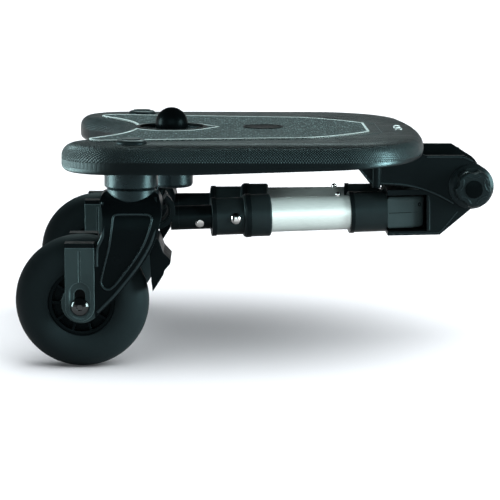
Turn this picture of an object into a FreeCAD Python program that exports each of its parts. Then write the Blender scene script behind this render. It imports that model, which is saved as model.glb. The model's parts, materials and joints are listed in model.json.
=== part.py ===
"""A buggy board: a standing deck on two sprung casters, with two folding, sliding coupling arms.

The origin is on the floor under the middle of the board. +X points to the front, where the arms are hinged,
+Y to the left and +Z up. The arms are folded back under the deck. All lengths are millimetres.
"""
import FreeCAD, Part
import math
import os
import Sketcher
from types import SimpleNamespace

doc = FreeCAD.newDocument("BuggyBoard")
sheet = doc.addObject("Spreadsheet::Sheet", "Sizes")

DRIVING_SIZES = {
    # Deck outline, seen from above, and its section
    "deck_front": 155.8,
    "deck_half_width": 174,
    "deck_front_radius": 600,
    "deck_corner_radius": 90,
    "deck_lobe_radius": 46.6,
    "deck_notch_apex": 124,
    "deck_notch_radius": 130.5,
    "deck_bottom": 177,
    "deck_thickness": 24,
    "deck_top_round": 11,
    "deck_bottom_round": 5.8,
    "taper_start": 60,
    "taper_rise": 7,
    # Ribbed hollows under the deck
    "rib_field_rear": 45,
    "rib_pocket_length": 36,
    "rib_pocket_width": 38,
    "rib_thickness": 5,
    "rib_roof": 7.5,
    # Grip pad and the plain disc on it
    "pad_front": 104,
    "pad_rear": 150,
    "pad_cap_gap": 2,
    "pad_thickness": 1.2,
    "pad_notch_margin": 9,
    "badge_radius": 19,
    "badge_height": 0.8,
    "badge_forward": 5,
    # Lift knob, its dish and its housing
    "lift_setback": 82.6,
    "lift_ball_radius": 15.5,
    "lift_ball_centre_height": 4.5,
    "lift_stem_radius": 4,
    "lift_stem_grip": 10,
    "lift_flange_radius": 10,
    "lift_flange_height": 4,
    "lift_flange_lift": 2,
    "dish_radius": 31,
    "dish_floor_radius": 19,
    "dish_depth": 12.5,
    "housing_radius": 21,
    "housing_foot_radius": 20.3,
    "housing_depth": 32,
    "housing_bore": 14,
    "housing_floor": 5,
    "housing_round": 3.4,
    # Caster swivel
    "post_setback": 115.7,
    "post_inset": 39,
    "king_pin_radius": 6,
    "king_pin_head_radius": 10,
    "king_pin_head_height": 5,
    "king_pin_head_depth": 9,
    "king_pin_nut_radius": 10,
    "king_pin_nut_height": 5.7,
    "king_pin_nut_sink": 2,
    "socket_radius": 24,
    "socket_height": 14.4,
    "socket_edge": 1.2,
    "cup_radius": 22,
    "cup_height": 12,
    "swivel_gap": 0.6,
    "cap_radius": 14,
    "cap_skirt": 1.2,
    "cap_height": 4,
    "cap_flat_radius": 9.5,
    "cap_disc_radius": 8.5,
    "cap_disc_height": 0.8,
    # Fork
    "caster_trail": 44.5,
    "fork_top": 160,
    "fork_half_width": 34,
    "fork_foot": 45,
    "tunnel_top": 132,
    "tyre_side_clearance": 4,
    "panel_depth": 1.5,
    "guard_clearance": 4,
    "guard_centre_height": 68,
    "guard_embed": 1,
    # Suspension struts, seen on each side of the wheel
    "strut_width": 26,
    "strut_inner": 23,
    "strut_thickness": 13,
    "strut_top": 113,
    "strut_cap_height": 4,
    "strut_skin": 3,
    "slot_width": 9.7,
    "slot_top": 76,
    "channel_top": 87,
    "recess_width": 18,
    "recess_top": 82,
    "recess_depth": 1.2,
    "groove_width": 1.6,
    "groove_depth": 0.8,
    "groove_top_margin": 3,
    "spring_bore_radius": 4.6,
    "spring_bore_top": 106,
    "spring_radius": 3.5,
    "spring_wire_radius": 0.6,
    "slider_clearance": 0.2,
    "slider_top": 76.4,
    "slider_foot": 54.6,
    # Wheel
    "wheel_radius": 60,
    "tyre_width": 40,
    "tyre_seat_radius": 30,
    "hub_boss_radius": 17,
    "hub_width": 36,
    "hub_rim_thickness": 3.5,
    "hub_rim_width": 28,
    "hub_web": 8,
    "hub_rib_width": 26,
    "hub_rib_thickness": 2,
    "bush_radius": 8,
    "bush_inner_end": 4,
    "bush_end_gap": 0.5,
    "axle_radius": 4,
    "axle_head_radius": 8,
    "axle_head_height": 5,
    "axle_head_rim": 1,
    "axle_socket_radius": 2.9,
    "axle_socket_depth": 2.6,
    # Front bracket and the folding joint
    "bracket_rear": 93,
    "bracket_half_width": 52,
    "bracket_wall": 4,
    "bracket_plate": 5,
    "bracket_pocket_rear": 150,
    "bracket_rim_drop": 3,
    "bracket_rim_rise": 8,
    "bracket_rim_front": 192,
    "bracket_end_radius": 21,
    "hinge_forward": 199,
    "hinge_height": 152,
    "hinge_bolt_radius": 5,
    "hinge_head_radius": 9,
    "hinge_head_height": 6,
    "hinge_cap_radius": 13,
    "hinge_cap_wall": 2.4,
    "hinge_cap_height": 11,
    "hinge_cap_dome": 4.2,
    "washer_radius": 15,
    "washer_thickness": 1.3,
    "boss_forward": 110,
    "boss_offset": 51,
    "boss_radius": 4.5,
    "boss_foot": 152.8,
    "screw_radius": 2,
    "screw_head_radius": 4,
    "screw_head_height": 2.2,
    "bracket_screw_length": 40,
    "deck_screw_forward": 134,
    "deck_screw_offset": 10,
    # Clamp knob
    "knob_radius": 17.5,
    "knob_flange_radius": 21,
    "knob_flange_height": 4,
    "knob_height": 22,
    "knob_bolt_depth": 14,
    "knob_round": 4,
    "knob_scallop_radius": 8,
    "knob_scallop_circle": 22,
    "knob_boss_radius": 6,
    "knob_boss_height": 0.6,
    # Arm carrier, measured from the hinge
    "carrier_side_gap": 1.5,
    "carrier_reach": 78,
    "carrier_bottom": 46.2,
    "carrier_bottom_plate": 3.7,
    "carrier_top": 3,
    "carrier_top_plate": 5,
    "carrier_window": 41,
    "carrier_slope_start": 29,
    "carrier_barrel_radius": 17.5,
    "carrier_side_wall": 4.5,
    "pin_setback": 57,
    "pin_offset": 25,
    "pin_radius": 4,
    "pin_head_radius": 6.5,
    "pin_head_height": 1.8,
    "arm_drop": 25.5,
    # Arm, measured back from its swing pin
    "block_half_width": 15,
    "block_height": 30,
    "block_end": 22,
    "block_round": 3,
    "spigot_length": 26,
    "spigot_radius": 13.8,
    "sleeve_radius": 19.2,
    "sleeve_front": 22.3,
    "sleeve_rear": 57,
    "tube_radius": 16.25,
    "tube_bore": 13.9,
    "tube_front": 24,
    "ring_radius": 20,
    "ring_front": 132,
    "ring_round": 2,
    "tube_end": 158,
    "tip_sleeve_radius": 17.5,
    "tip_sleeve_end": 188,
    "tip_spigot_length": 18,
    "index_hole_radius": 3,
    "index_hole_front": 90,
    "index_hole_pitch": 23.5,
    "inner_radius": 11.25,
    "inner_wall": 1.5,
    "inner_front": 85,
    "inner_end": 219,
    "arm_travel": 67,
    # Snap button
    "button_setback": 166,
    "button_radius": 5.5,
    "button_shank_radius": 4,
    "button_shank_end": 11.6,
    "button_seat": 14.5,
    "button_dome": 4,
    "button_travel": 2,
    # Coupling hook and its rubber pad
    "hook_plug_length": 14,
    "hook_collar_end": 226,
    "jaw_setback": 240,
    "jaw_rise": 9,
    "jaw_outer_radius": 17.5,
    "jaw_inner_radius": 13,
    "jaw_width": 22,
    "jaw_pad_radius": 11,
    "jaw_pad_width": 20,
    # Fits
    "running_gap": 0.05,
    "slide_gap": 0.1,
    "clear_gap": 0.3,
    "overrun": 2,
}
DRIVING_ANGLES = {
    "carrier_tilt": 1.2,
    "arm_splay": 5,
    "jaw_mouth": 70,
}
DRIVING_COUNTS = {
    "hub_ribs": 10,
    "knob_scallops": 5,
    "spring_turns": 7,
    "rib_columns": 3,
    "rib_rows": 6,
}

for row, (alias, number) in enumerate({**DRIVING_SIZES, **DRIVING_ANGLES, **DRIVING_COUNTS}.items(), start=1):
    sheet.set(f"A{row}", alias)
    sheet.set(f"B{row}", str(number))
    sheet.setAlias(f"B{row}", alias)
doc.recompute()


class Size:
    """A size held both as an expression on the sheet and as its present value."""

    def __init__(self, text, value):
        self.text = text
        self.value = float(value)

    def __add__(self, other):
        other = as_size(other)
        return Size(f"({self.text} + {other.text})", self.value + other.value)

    def __sub__(self, other):
        other = as_size(other)
        return Size(f"({self.text} - {other.text})", self.value - other.value)

    def __mul__(self, other):
        other = as_size(other)
        return Size(f"({self.text} * {other.text})", self.value * other.value)

    def __truediv__(self, other):
        other = as_size(other)
        return Size(f"({self.text} / {other.text})", self.value / other.value)

    def __neg__(self):
        return Size(f"(0 - {self.text})", -self.value)

    def root(self):
        """Square root of a product of two sizes."""
        return Size(f"sqrt({self.text})", math.sqrt(self.value))


def as_size(number):
    """Let a plain share or count stand beside sizes in a formula."""
    return number if isinstance(number, Size) else Size(f"({number!r})", number)


ZERO = as_size(0)
d = SimpleNamespace(**{alias: Size(f"Sizes.{alias}", sheet.get(alias)) for alias in {**DRIVING_SIZES}})
angles = SimpleNamespace(**{alias: sheet.get(alias) for alias in DRIVING_ANGLES})
counts = SimpleNamespace(**{alias: int(sheet.get(alias)) for alias in DRIVING_COUNTS})
SIDES = {"right": -1, "left": 1}
TURN_TO = {
    "+Z": FreeCAD.Rotation(),
    "-Z": FreeCAD.Rotation(FreeCAD.Vector(1, 0, 0), 180),
    "+Y": FreeCAD.Rotation(FreeCAD.Vector(1, 0, 0), -90),
    "-Y": FreeCAD.Rotation(FreeCAD.Vector(1, 0, 0), 90),
    "+X": FreeCAD.Rotation(FreeCAD.Vector(0, 1, 0), 90),
    "-X": FreeCAD.Rotation(FreeCAD.Vector(0, 1, 0), -90),
}
nodes = []


def bind(feature, **sizes):
    """Tie properties of a feature to the sheet."""
    for name, length in sizes.items():
        feature.setExpression(name, length.text)


def place(feature, base, rotation=None):
    """Give a feature its place, with the offsets tied to the sheet."""
    if rotation is not None:
        feature.Placement = FreeCAD.Placement(FreeCAD.Vector(), rotation)
    for letter, length in zip("xyz", base):
        feature.setExpression(f"Placement.Base.{letter}", length.text)
    return feature


def node(name, feature):
    """Name a finished sub-part; the name is also its file's."""
    feature.Label = name
    nodes.append(feature)
    return feature


def cylinder(name, radius, length, base=(ZERO, ZERO, ZERO), towards="+Z"):
    feature = doc.addObject("Part::Cylinder", name)
    bind(feature, Radius=radius, Height=length)
    return place(feature, base, TURN_TO[towards])


def cone(name, radius_low, radius_high, length, base):
    feature = doc.addObject("Part::Cone", name)
    bind(feature, Radius1=radius_low, Radius2=radius_high, Height=length)
    return place(feature, base)


def box(name, low, high):
    """A box between two corners."""
    feature = doc.addObject("Part::Box", name)
    bind(feature, Length=high[0] - low[0], Width=high[1] - low[1], Height=high[2] - low[2])
    return place(feature, low)


def hexagon(name, radius, length, base, towards):
    feature = doc.addObject("Part::Prism", name)
    feature.Polygon = 6
    bind(feature, Circumradius=radius, Height=length)
    return place(feature, base, TURN_TO[towards])


def joined(name, *pieces):
    feature = doc.addObject("Part::MultiFuse", name)
    feature.Shapes = list(pieces)
    return feature


def group(name, *pieces):
    """Separate solids kept in one sub-part."""
    feature = doc.addObject("Part::Compound", name)
    feature.Links = list(pieces)
    return feature


def cut(name, base, *tools):
    feature = doc.addObject("Part::Cut", name)
    feature.Base = base
    feature.Tool = tools[0] if len(tools) == 1 else joined(f"{name}_tools", *tools)
    return feature


def shared(name, first, second):
    feature = doc.addObject("Part::Common", name)
    feature.Base = first
    feature.Tool = second
    return feature


def vector(point):
    return FreeCAD.Vector(point[0].value, point[1].value, 0)


def new_sketch(body, name, plane):
    sketch = body.newObject("Sketcher::SketchObject", name)
    support = next(item for item in body.Origin.OriginFeatures if item.Role == plane)
    sketch.AttachmentSupport = (support, [""])
    sketch.MapMode = "FlatFace"
    return sketch


def bound_constraint(sketch, kind, *references, length):
    """A sketch dimension tied to the sheet."""
    index = sketch.addConstraint(Sketcher.Constraint(kind, *references, length.value))
    sketch.setExpression(f"Constraints[{index}]", length.text)


def pin_point(sketch, geometry, end, point):
    """Hold a sketch point at its two offsets from the sketch's origin."""
    bound_constraint(sketch, "DistanceX", -1, 1, geometry, end, length=point[0])
    bound_constraint(sketch, "DistanceY", -1, 1, geometry, end, length=point[1])


def end_at(sketch, geometry, point):
    """The end of a line or arc, 1 or 2, that lies at a point."""
    reach = [sketch.getPoint(geometry, end).distanceToPoint(vector(point)) for end in (1, 2)]
    return 1 if reach[0] < reach[1] else 2


def draw_outline(body, name, plane, start, steps):
    """A closed outline of lines, given as (end,), and arcs, given as (via, end)."""
    sketch = new_sketch(body, name, plane)
    ends = []
    corner = start
    for step in steps:
        if len(step) == 1:
            edge = Part.LineSegment(vector(corner), vector(step[0]))
        else:
            edge = Part.Arc(vector(corner), vector(step[0]), vector(step[1]))
        geometry = sketch.addGeometry(edge, False)
        ends.append((geometry, end_at(sketch, geometry, corner), end_at(sketch, geometry, step[-1])))
        corner = step[-1]
    for index, (geometry, first, last) in enumerate(ends):
        following = ends[(index + 1) % len(ends)]
        sketch.addConstraint(Sketcher.Constraint("Coincident", geometry, last, following[0], following[1]))
        pin_point(sketch, geometry, last, steps[index][-1])
    for (geometry, first, last), step in zip(ends, steps):
        if len(step) == 2:
            via = sketch.addGeometry(Part.Point(vector(step[0])), True)
            sketch.addConstraint(Sketcher.Constraint("PointOnObject", via, 1, geometry))
            pin_point(sketch, via, 1, step[0])
    return sketch


def padded(name, plane, length, start, steps):
    """A plate of the given outline, its thickness shared evenly by both sides of the plane."""
    body = doc.addObject("PartDesign::Body", name)
    sketch = draw_outline(body, f"{name}_outline", plane, start, steps)
    pad = body.newObject("PartDesign::Pad", f"{name}_pad")
    pad.Profile = sketch
    pad.SideType = "Symmetric"
    bind(pad, Length=length)
    return body


def turned(name, plane, start, steps):
    """A round piece: its half section is drawn with the radius first and spun about the second axis."""
    body = doc.addObject("PartDesign::Body", name)
    sketch = draw_outline(body, f"{name}_section", plane, start, steps)
    spin = body.newObject("PartDesign::Revolution", f"{name}_spin")
    spin.Profile = sketch
    spin.ReferenceAxis = (sketch, ["V_Axis"])
    spin.Angle = 360
    return body


def straight(*points):
    """Line steps through points."""
    return [(point,) for point in points]


def polar(centre, radius, degrees):
    """A point of a circle, at an angle from the first axis."""
    turn = math.radians(degrees)
    return (centre[0] + radius * math.cos(turn), centre[1] + radius * math.sin(turn))


DOME_VIA_SHARE = 0.6


def dome(radius, foot, rise, way):
    """The arc step of a domed end: part of a sphere that is centred on the turning axis."""
    sphere = (radius * radius + rise * rise) / (rise * 2)
    centre = foot + (rise - sphere) * way
    side = radius * DOME_VIA_SHARE
    via = (side, centre + (sphere * sphere - side * side).root() * way)
    return (via, (ZERO, foot + rise * way))


def ring(name, radius, bore, length, base, towards):
    """A plain tube."""
    outer = cylinder(f"{name}_outer", radius, length, base, towards)
    inner = cylinder(f"{name}_inner", bore, length, base, towards)
    return cut(name, outer, inner)


# Places that several pieces share
deck_top = d.deck_bottom + d.deck_thickness
pad_top = deck_top + d.pad_thickness
post_x = -d.post_setback
wheel_x = post_x - d.caster_trail
half_track = d.deck_half_width - d.post_inset
lift_place = (-d.lift_setback, ZERO)
axle_z = d.wheel_radius
socket_foot = d.deck_bottom - d.socket_height
cup_top = socket_foot - d.swivel_gap
pin_bore = d.king_pin_radius + d.running_gap
crown_face = d.tunnel_top + d.king_pin_nut_sink
bolt_bore = d.hinge_bolt_radius + d.running_gap
wall_inner = d.bracket_half_width - d.bracket_wall
carrier_half_width = wall_inner - d.carrier_side_gap
hole_radius = d.screw_radius + d.running_gap


def underside(forward):
    """Height of the deck's underside, which rises evenly towards the front."""
    return d.deck_bottom + d.taper_rise * (forward + d.taper_start) / (d.deck_front + d.taper_start)


def deck_outline(body):
    """Deck seen from above: tangent arcs and lines, with a wide notch between two rear lobes."""
    front_x = d.deck_front - d.deck_front_radius
    notch_x = -d.deck_notch_apex - d.deck_notch_radius
    corner_y = d.deck_half_width - d.deck_corner_radius
    lobe_y = d.deck_half_width - d.deck_lobe_radius
    front_reach = d.deck_front_radius - d.deck_corner_radius
    notch_reach = d.deck_notch_radius + d.deck_lobe_radius
    corner_x = front_x + (front_reach * front_reach - corner_y * corner_y).root()
    lobe_x = notch_x + (notch_reach * notch_reach - lobe_y * lobe_y).root()
    front_turn = math.degrees(math.atan2(corner_y.value, (corner_x - front_x).value))
    notch_turn = math.degrees(math.atan2(lobe_y.value, (lobe_x - notch_x).value))
    sketch = new_sketch(body, "deck_outline", "XY_Plane")

    def arc(centre, radius, first, last):
        bends = [vector(polar(centre, radius, turn)) for turn in (first, (first + last) / 2, last)]
        return sketch.addGeometry(Part.Arc(*bends), False)

    def side(sign):
        ends = [vector((x, d.deck_half_width * sign)) for x in (corner_x, lobe_x)]
        return sketch.addGeometry(Part.LineSegment(*ends), False)

    front = arc((front_x, ZERO), d.deck_front_radius, -front_turn, front_turn)
    notch = arc((notch_x, ZERO), d.deck_notch_radius, -notch_turn, notch_turn)
    corners = {sign: arc((corner_x, corner_y * sign), d.deck_corner_radius, front_turn * sign, 90 * sign)
               for sign in SIDES.values()}
    lobes = {sign: arc((lobe_x, lobe_y * sign), d.deck_lobe_radius, 90 * sign, (180 + notch_turn) * sign)
             for sign in SIDES.values()}
    sides = {sign: side(sign) for sign in SIDES.values()}
    for sign in SIDES.values():
        front_point = polar((front_x, ZERO), d.deck_front_radius, front_turn * sign)
        notch_point = polar((notch_x, ZERO), d.deck_notch_radius, notch_turn * sign)
        side_front = (corner_x, d.deck_half_width * sign)
        side_rear = (lobe_x, d.deck_half_width * sign)
        meetings = [
            (front, corners[sign], front_point),
            (corners[sign], sides[sign], side_front),
            (sides[sign], lobes[sign], side_rear),
            (lobes[sign], notch, notch_point),
        ]
        for one, other, point in meetings:
            ends = (one, end_at(sketch, one, point), other, end_at(sketch, other, point))
            sketch.addConstraint(Sketcher.Constraint("Tangent", *ends))
        bound_constraint(sketch, "Radius", corners[sign], length=d.deck_corner_radius)
        bound_constraint(sketch, "Radius", lobes[sign], length=d.deck_lobe_radius)
        bound_constraint(sketch, "DistanceY", -1, 1, sides[sign], 1, length=d.deck_half_width * sign)
    bound_constraint(sketch, "Radius", front, length=d.deck_front_radius)
    bound_constraint(sketch, "Radius", notch, length=d.deck_notch_radius)
    pin_point(sketch, front, 3, (front_x, ZERO))
    pin_point(sketch, notch, 3, (notch_x, ZERO))
    return sketch


def round_edges(body, name, base, radius, low, high):
    """Round a body's edges that lie between two heights, but not its straight edges across."""
    doc.recompute()
    chosen = []
    for index, edge in enumerate(base.Shape.Edges, start=1):
        span = edge.BoundBox
        across = span.XLength < d.running_gap.value
        if low <= span.ZMin and span.ZMax <= high and not across:
            chosen.append(f"Edge{index}")
    fillet = body.newObject("PartDesign::Fillet", name)
    fillet.Base = (base, chosen)
    bind(fillet, Radius=radius)
    return fillet


def make_deck():
    """The moulded board, tapered underneath towards the front and hollowed between ribs."""
    body = doc.addObject("PartDesign::Body", "deck_body")
    pad = body.newObject("PartDesign::Pad", "deck_pad")
    pad.Profile = deck_outline(body)
    bind(pad, Length=d.deck_thickness)
    beyond = d.deck_front + d.overrun
    taper = draw_outline(body, "deck_taper", "XZ_Plane", (-d.taper_start, ZERO), straight(
        (beyond, ZERO), (beyond, underside(beyond) - d.deck_bottom), (-d.taper_start, ZERO)))
    pocket = body.newObject("PartDesign::Pocket", "deck_taper_cut")
    pocket.Profile = taper
    pocket.SideType = "Symmetric"
    bind(pocket, Length=(d.deck_half_width + d.overrun) * 2)
    slack = d.running_gap.value
    top = d.deck_thickness.value
    top_round = round_edges(body, "deck_top_edge", pocket, d.deck_top_round, top - slack, top + slack)
    foot_high = d.taper_rise.value + slack
    round_edges(body, "deck_foot_edge", top_round, d.deck_bottom_round, -slack, foot_high)
    place(body, (ZERO, ZERO, d.deck_bottom))
    lift_x = lift_place[0]
    dish_floor = deck_top - d.dish_depth
    tools = [
        cone("dish_slope", d.dish_floor_radius, d.dish_radius, d.dish_depth, (lift_x, ZERO, dish_floor)),
        cylinder("dish_mouth", d.dish_radius, d.overrun, (lift_x, ZERO, deck_top)),
        cylinder("stem_hole", d.lift_stem_radius + d.running_gap, d.deck_thickness, (lift_x, ZERO, d.deck_bottom)),
    ]
    for side, sign in SIDES.items():
        post = (post_x, half_track * sign)
        head_floor = deck_top - d.king_pin_head_depth
        head_bore = d.king_pin_head_radius + d.slide_gap
        tools.append(cylinder(f"post_hole_{side}", pin_bore, d.deck_thickness, (*post, d.deck_bottom)))
        tools.append(cylinder(f"head_hole_{side}", head_bore, d.deck_thickness, (*post, head_floor)))
        screw = (d.deck_screw_forward, d.deck_screw_offset * sign, d.deck_bottom)
        tools.append(cylinder(f"deck_screw_hole_{side}", hole_radius, d.deck_thickness + d.overrun, screw))
        boss = (d.boss_forward, d.boss_offset * sign, d.boss_foot)
        tools.append(cylinder(f"boss_hole_deck_{side}", hole_radius, d.bracket_screw_length, boss))
    pitch_x = d.rib_pocket_length + d.rib_thickness
    pitch_y = d.rib_pocket_width + d.rib_thickness
    field_y = -(pitch_y * counts.rib_rows - d.rib_thickness) / 2
    for column in range(counts.rib_columns):
        for line in range(counts.rib_rows):
            low = (pitch_x * column - d.rib_field_rear, field_y + pitch_y * line, d.deck_bottom - d.overrun)
            high = (low[0] + d.rib_pocket_length, low[1] + d.rib_pocket_width, deck_top - d.rib_roof)
            tools.append(box(f"rib_pocket_{column}_{line}", low, high))
    node("deck", cut("deck_cut", body, *tools))


PAD_REAR_SHARES = {"rear": (-1.0, 0.8), "lobe": (-1.02, 0.95), "side_rear": (-0.9, 1.0)}
PAD_FRONT_SHARES = {"side_front": (0.44, 0.79), "corner": (0.755, 0.584), "front": (1.0, 0.328)}


def make_grip_pad():
    """The non-slip pad, with a hole for the lift knob's dish, and the plain disc on it."""
    notch = (-d.deck_notch_apex + d.pad_notch_margin, ZERO)
    half_width = half_track - d.cap_radius - d.pad_cap_gap
    half = {}
    for sign in SIDES.values():
        reaches = [(d.pad_rear, PAD_REAR_SHARES), (d.pad_front, PAD_FRONT_SHARES)]
        half[sign] = SimpleNamespace(**{name: (reach * pair[0], half_width * pair[1] * sign)
                                        for reach, shares in reaches for name, pair in shares.items()})
    near, far = half[-1], half[1]
    body = padded("grip_pad_plate", "XY_Plane", d.pad_thickness, near.front, [
        (far.front,), (far.corner, far.side_front), (far.side_rear,), (far.lobe, far.rear),
        (notch, near.rear), (near.lobe, near.side_rear), (near.side_front,), (near.corner, near.front)])
    place(body, (ZERO, ZERO, deck_top + d.pad_thickness / 2))
    hole = cylinder("pad_hole", d.dish_radius, d.pad_thickness, (*lift_place, deck_top))
    node("grip_pad", cut("grip_pad_cut", body, hole))
    node("badge_disc", cylinder("badge", d.badge_radius, d.badge_height, (d.badge_forward, ZERO, pad_top)))


def make_screw(name, place_x, place_y, seat, length, towards):
    """A pan-headed screw: the head stands on its seat and the shank runs the other way."""
    into = "-Z" if towards == "+Z" else "+Z"
    shank = cylinder(f"{name}_shank", d.screw_radius, length, (place_x, place_y, seat), into)
    head = cylinder(f"{name}_head", d.screw_head_radius, d.screw_head_height, (place_x, place_y, seat), towards)
    return joined(name, shank, head)


def make_fasteners():
    forward = d.deck_screw_forward
    depth = deck_top - underside(forward) + d.bracket_plate
    screws = [make_screw(f"deck_screw_{side}", forward, d.deck_screw_offset * sign, deck_top, depth, "+Z")
              for side, sign in SIDES.items()]
    node("deck_screws", group("deck_screws_set", *screws))
    reach = d.bracket_screw_length - d.overrun
    screws = [make_screw(f"boss_screw_{side}", d.boss_forward, d.boss_offset * sign, d.boss_foot, reach, "-Z")
              for side, sign in SIDES.items()]
    node("bracket_screws", group("bracket_screws_set", *screws))


def make_lift_knob():
    """The pull knob: a ball on a stem that is trapped by its flange in the housing under the deck."""
    x = lift_place[0]
    ball_z = deck_top + d.lift_ball_centre_height
    cavity_floor = d.deck_bottom - d.housing_depth + d.housing_floor
    flange_z = cavity_floor + d.lift_flange_lift
    stem_top = ball_z - d.lift_ball_radius + d.lift_stem_grip
    ball = doc.addObject("Part::Sphere", "ball_sphere")
    bind(ball, Radius=d.lift_ball_radius)
    place(ball, (x, ZERO, ball_z))
    socket = cylinder("ball_socket", d.lift_stem_radius, stem_top - d.deck_bottom, (x, ZERO, d.deck_bottom))
    node("lift_ball", cut("ball_cut", ball, socket))
    stem = cylinder("stem_rod", d.lift_stem_radius, stem_top - flange_z, (x, ZERO, flange_z))
    flange = cylinder("stem_flange", d.lift_flange_radius, d.lift_flange_height, (x, ZERO, flange_z))
    node("lift_stem", joined("stem", stem, flange))
    foot = -d.housing_depth
    round_share = 0.7
    housing = turned("housing_shell", "XZ_Plane", (ZERO, foot), [
        ((d.housing_foot_radius - d.housing_round, foot),),
        ((d.housing_foot_radius - d.housing_round * (1 - round_share), foot + d.housing_round * (1 - round_share)),
         (d.housing_foot_radius, foot + d.housing_round)),
        ((d.housing_radius, ZERO),), ((d.housing_bore, ZERO),), ((d.housing_bore, foot + d.housing_floor),),
        ((ZERO, foot + d.housing_floor),), ((ZERO, foot),)])
    node("knob_housing", place(housing, (x, ZERO, d.deck_bottom)))


def make_swivel(side, sign):
    """Fixed socket ring, king pin and cover of one caster."""
    at_post = (post_x, half_track * sign, ZERO)
    socket = turned(f"socket_{side}", "XZ_Plane", (pin_bore, socket_foot), straight(
        (d.socket_radius - d.socket_edge, socket_foot), (d.socket_radius, socket_foot + d.socket_edge),
        (d.socket_radius, d.deck_bottom), (pin_bore, d.deck_bottom), (pin_bore, socket_foot)))
    node(f"swivel_socket_{side}", place(socket, at_post))
    nut_top = crown_face - d.clear_gap
    nut_foot = nut_top - d.king_pin_nut_height
    head_foot = deck_top - d.king_pin_head_depth
    head_top = head_foot + d.king_pin_head_height
    pin = turned(f"king_pin_turned_{side}", "XZ_Plane", (ZERO, nut_foot), straight(
        (d.king_pin_nut_radius, nut_foot), (d.king_pin_nut_radius, nut_top), (d.king_pin_radius, nut_top),
        (d.king_pin_radius, head_foot), (d.king_pin_head_radius, head_foot), (d.king_pin_head_radius, head_top),
        (ZERO, head_top), (ZERO, nut_foot)))
    node(f"king_pin_{side}", place(pin, at_post))
    top = deck_top + d.cap_height
    bulge_share = 0.7
    bulge = (d.cap_flat_radius + (d.cap_radius - d.cap_flat_radius) * bulge_share,
             deck_top + d.cap_skirt + (d.cap_height - d.cap_skirt) * bulge_share)
    cap = turned(f"cap_{side}", "XZ_Plane", (ZERO, deck_top), [
        ((d.cap_radius, deck_top),), ((d.cap_radius, deck_top + d.cap_skirt),), (bulge, (d.cap_flat_radius, top)),
        ((ZERO, top),), ((ZERO, deck_top),)])
    node(f"swivel_cap_{side}", place(cap, at_post))
    return cylinder(f"cap_disc_{side}", d.cap_disc_radius, d.cap_disc_height, (*at_post[:2], top))


LEG_SHARES = {
    "crown_rear": (-0.449, 1.0), "rear_corner_via": (-0.566, 0.984), "rear_corner": (-0.607, 0.95),
    "waist_via": (-0.553, 0.856), "waist": (-0.584, 0.75), "strut_shoulder": 0.694, "toe": 0.3125,
    "shin": (-0.27, 0.431), "knee": (0.18, 0.5875), "thigh_via": (0.461, 0.719), "thigh": (0.584, 0.831),
    "front_via": (0.616, 0.919), "front_corner": (0.551, 0.981), "crown_front": (0.449, 1.0),
}
PANEL_SHARES = {
    "top_rear": (-0.315, 0.878), "top_front": (0.326, 0.878), "corner_via": (0.389, 0.872), "corner": (0.4, 0.85),
    "front_via": (0.308, 0.75), "front": (0.126, 0.6625), "toe_front": (-0.315, 0.506), "toe_via": (-0.463, 0.478),
    "toe_rear": (-0.607, 0.531), "rear_via": (-0.427, 0.6875), "rear": (-0.371, 0.806),
}
GUARD_SHARES = {
    "lip": (0.42, 0.444), "lip_top": (0.54, 0.494), "step": (0.65, 0.544), "step_top": (0.674, 0.569),
    "nose": (0.787, 0.606), "nose_top": (0.798, 0.625), "brow": (0.652, 0.669), "root": (0.56, 0.74),
    "inside": (0.36, 0.775),
}


def fork_point(pair):
    """A point of the fork's side view, from shares of its trail and of its height."""
    return (d.caster_trail * pair[0], d.fork_top * pair[1])


def arch(name, half_width, top, foot):
    """A plain round-topped block along X."""
    springing = top - half_width
    return padded(name, "YZ_Plane", d.fork_top, (-half_width, foot), [
        ((half_width, foot),), ((half_width, springing),), ((ZERO, top), (-half_width, springing)),
        ((-half_width, foot),)])


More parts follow.
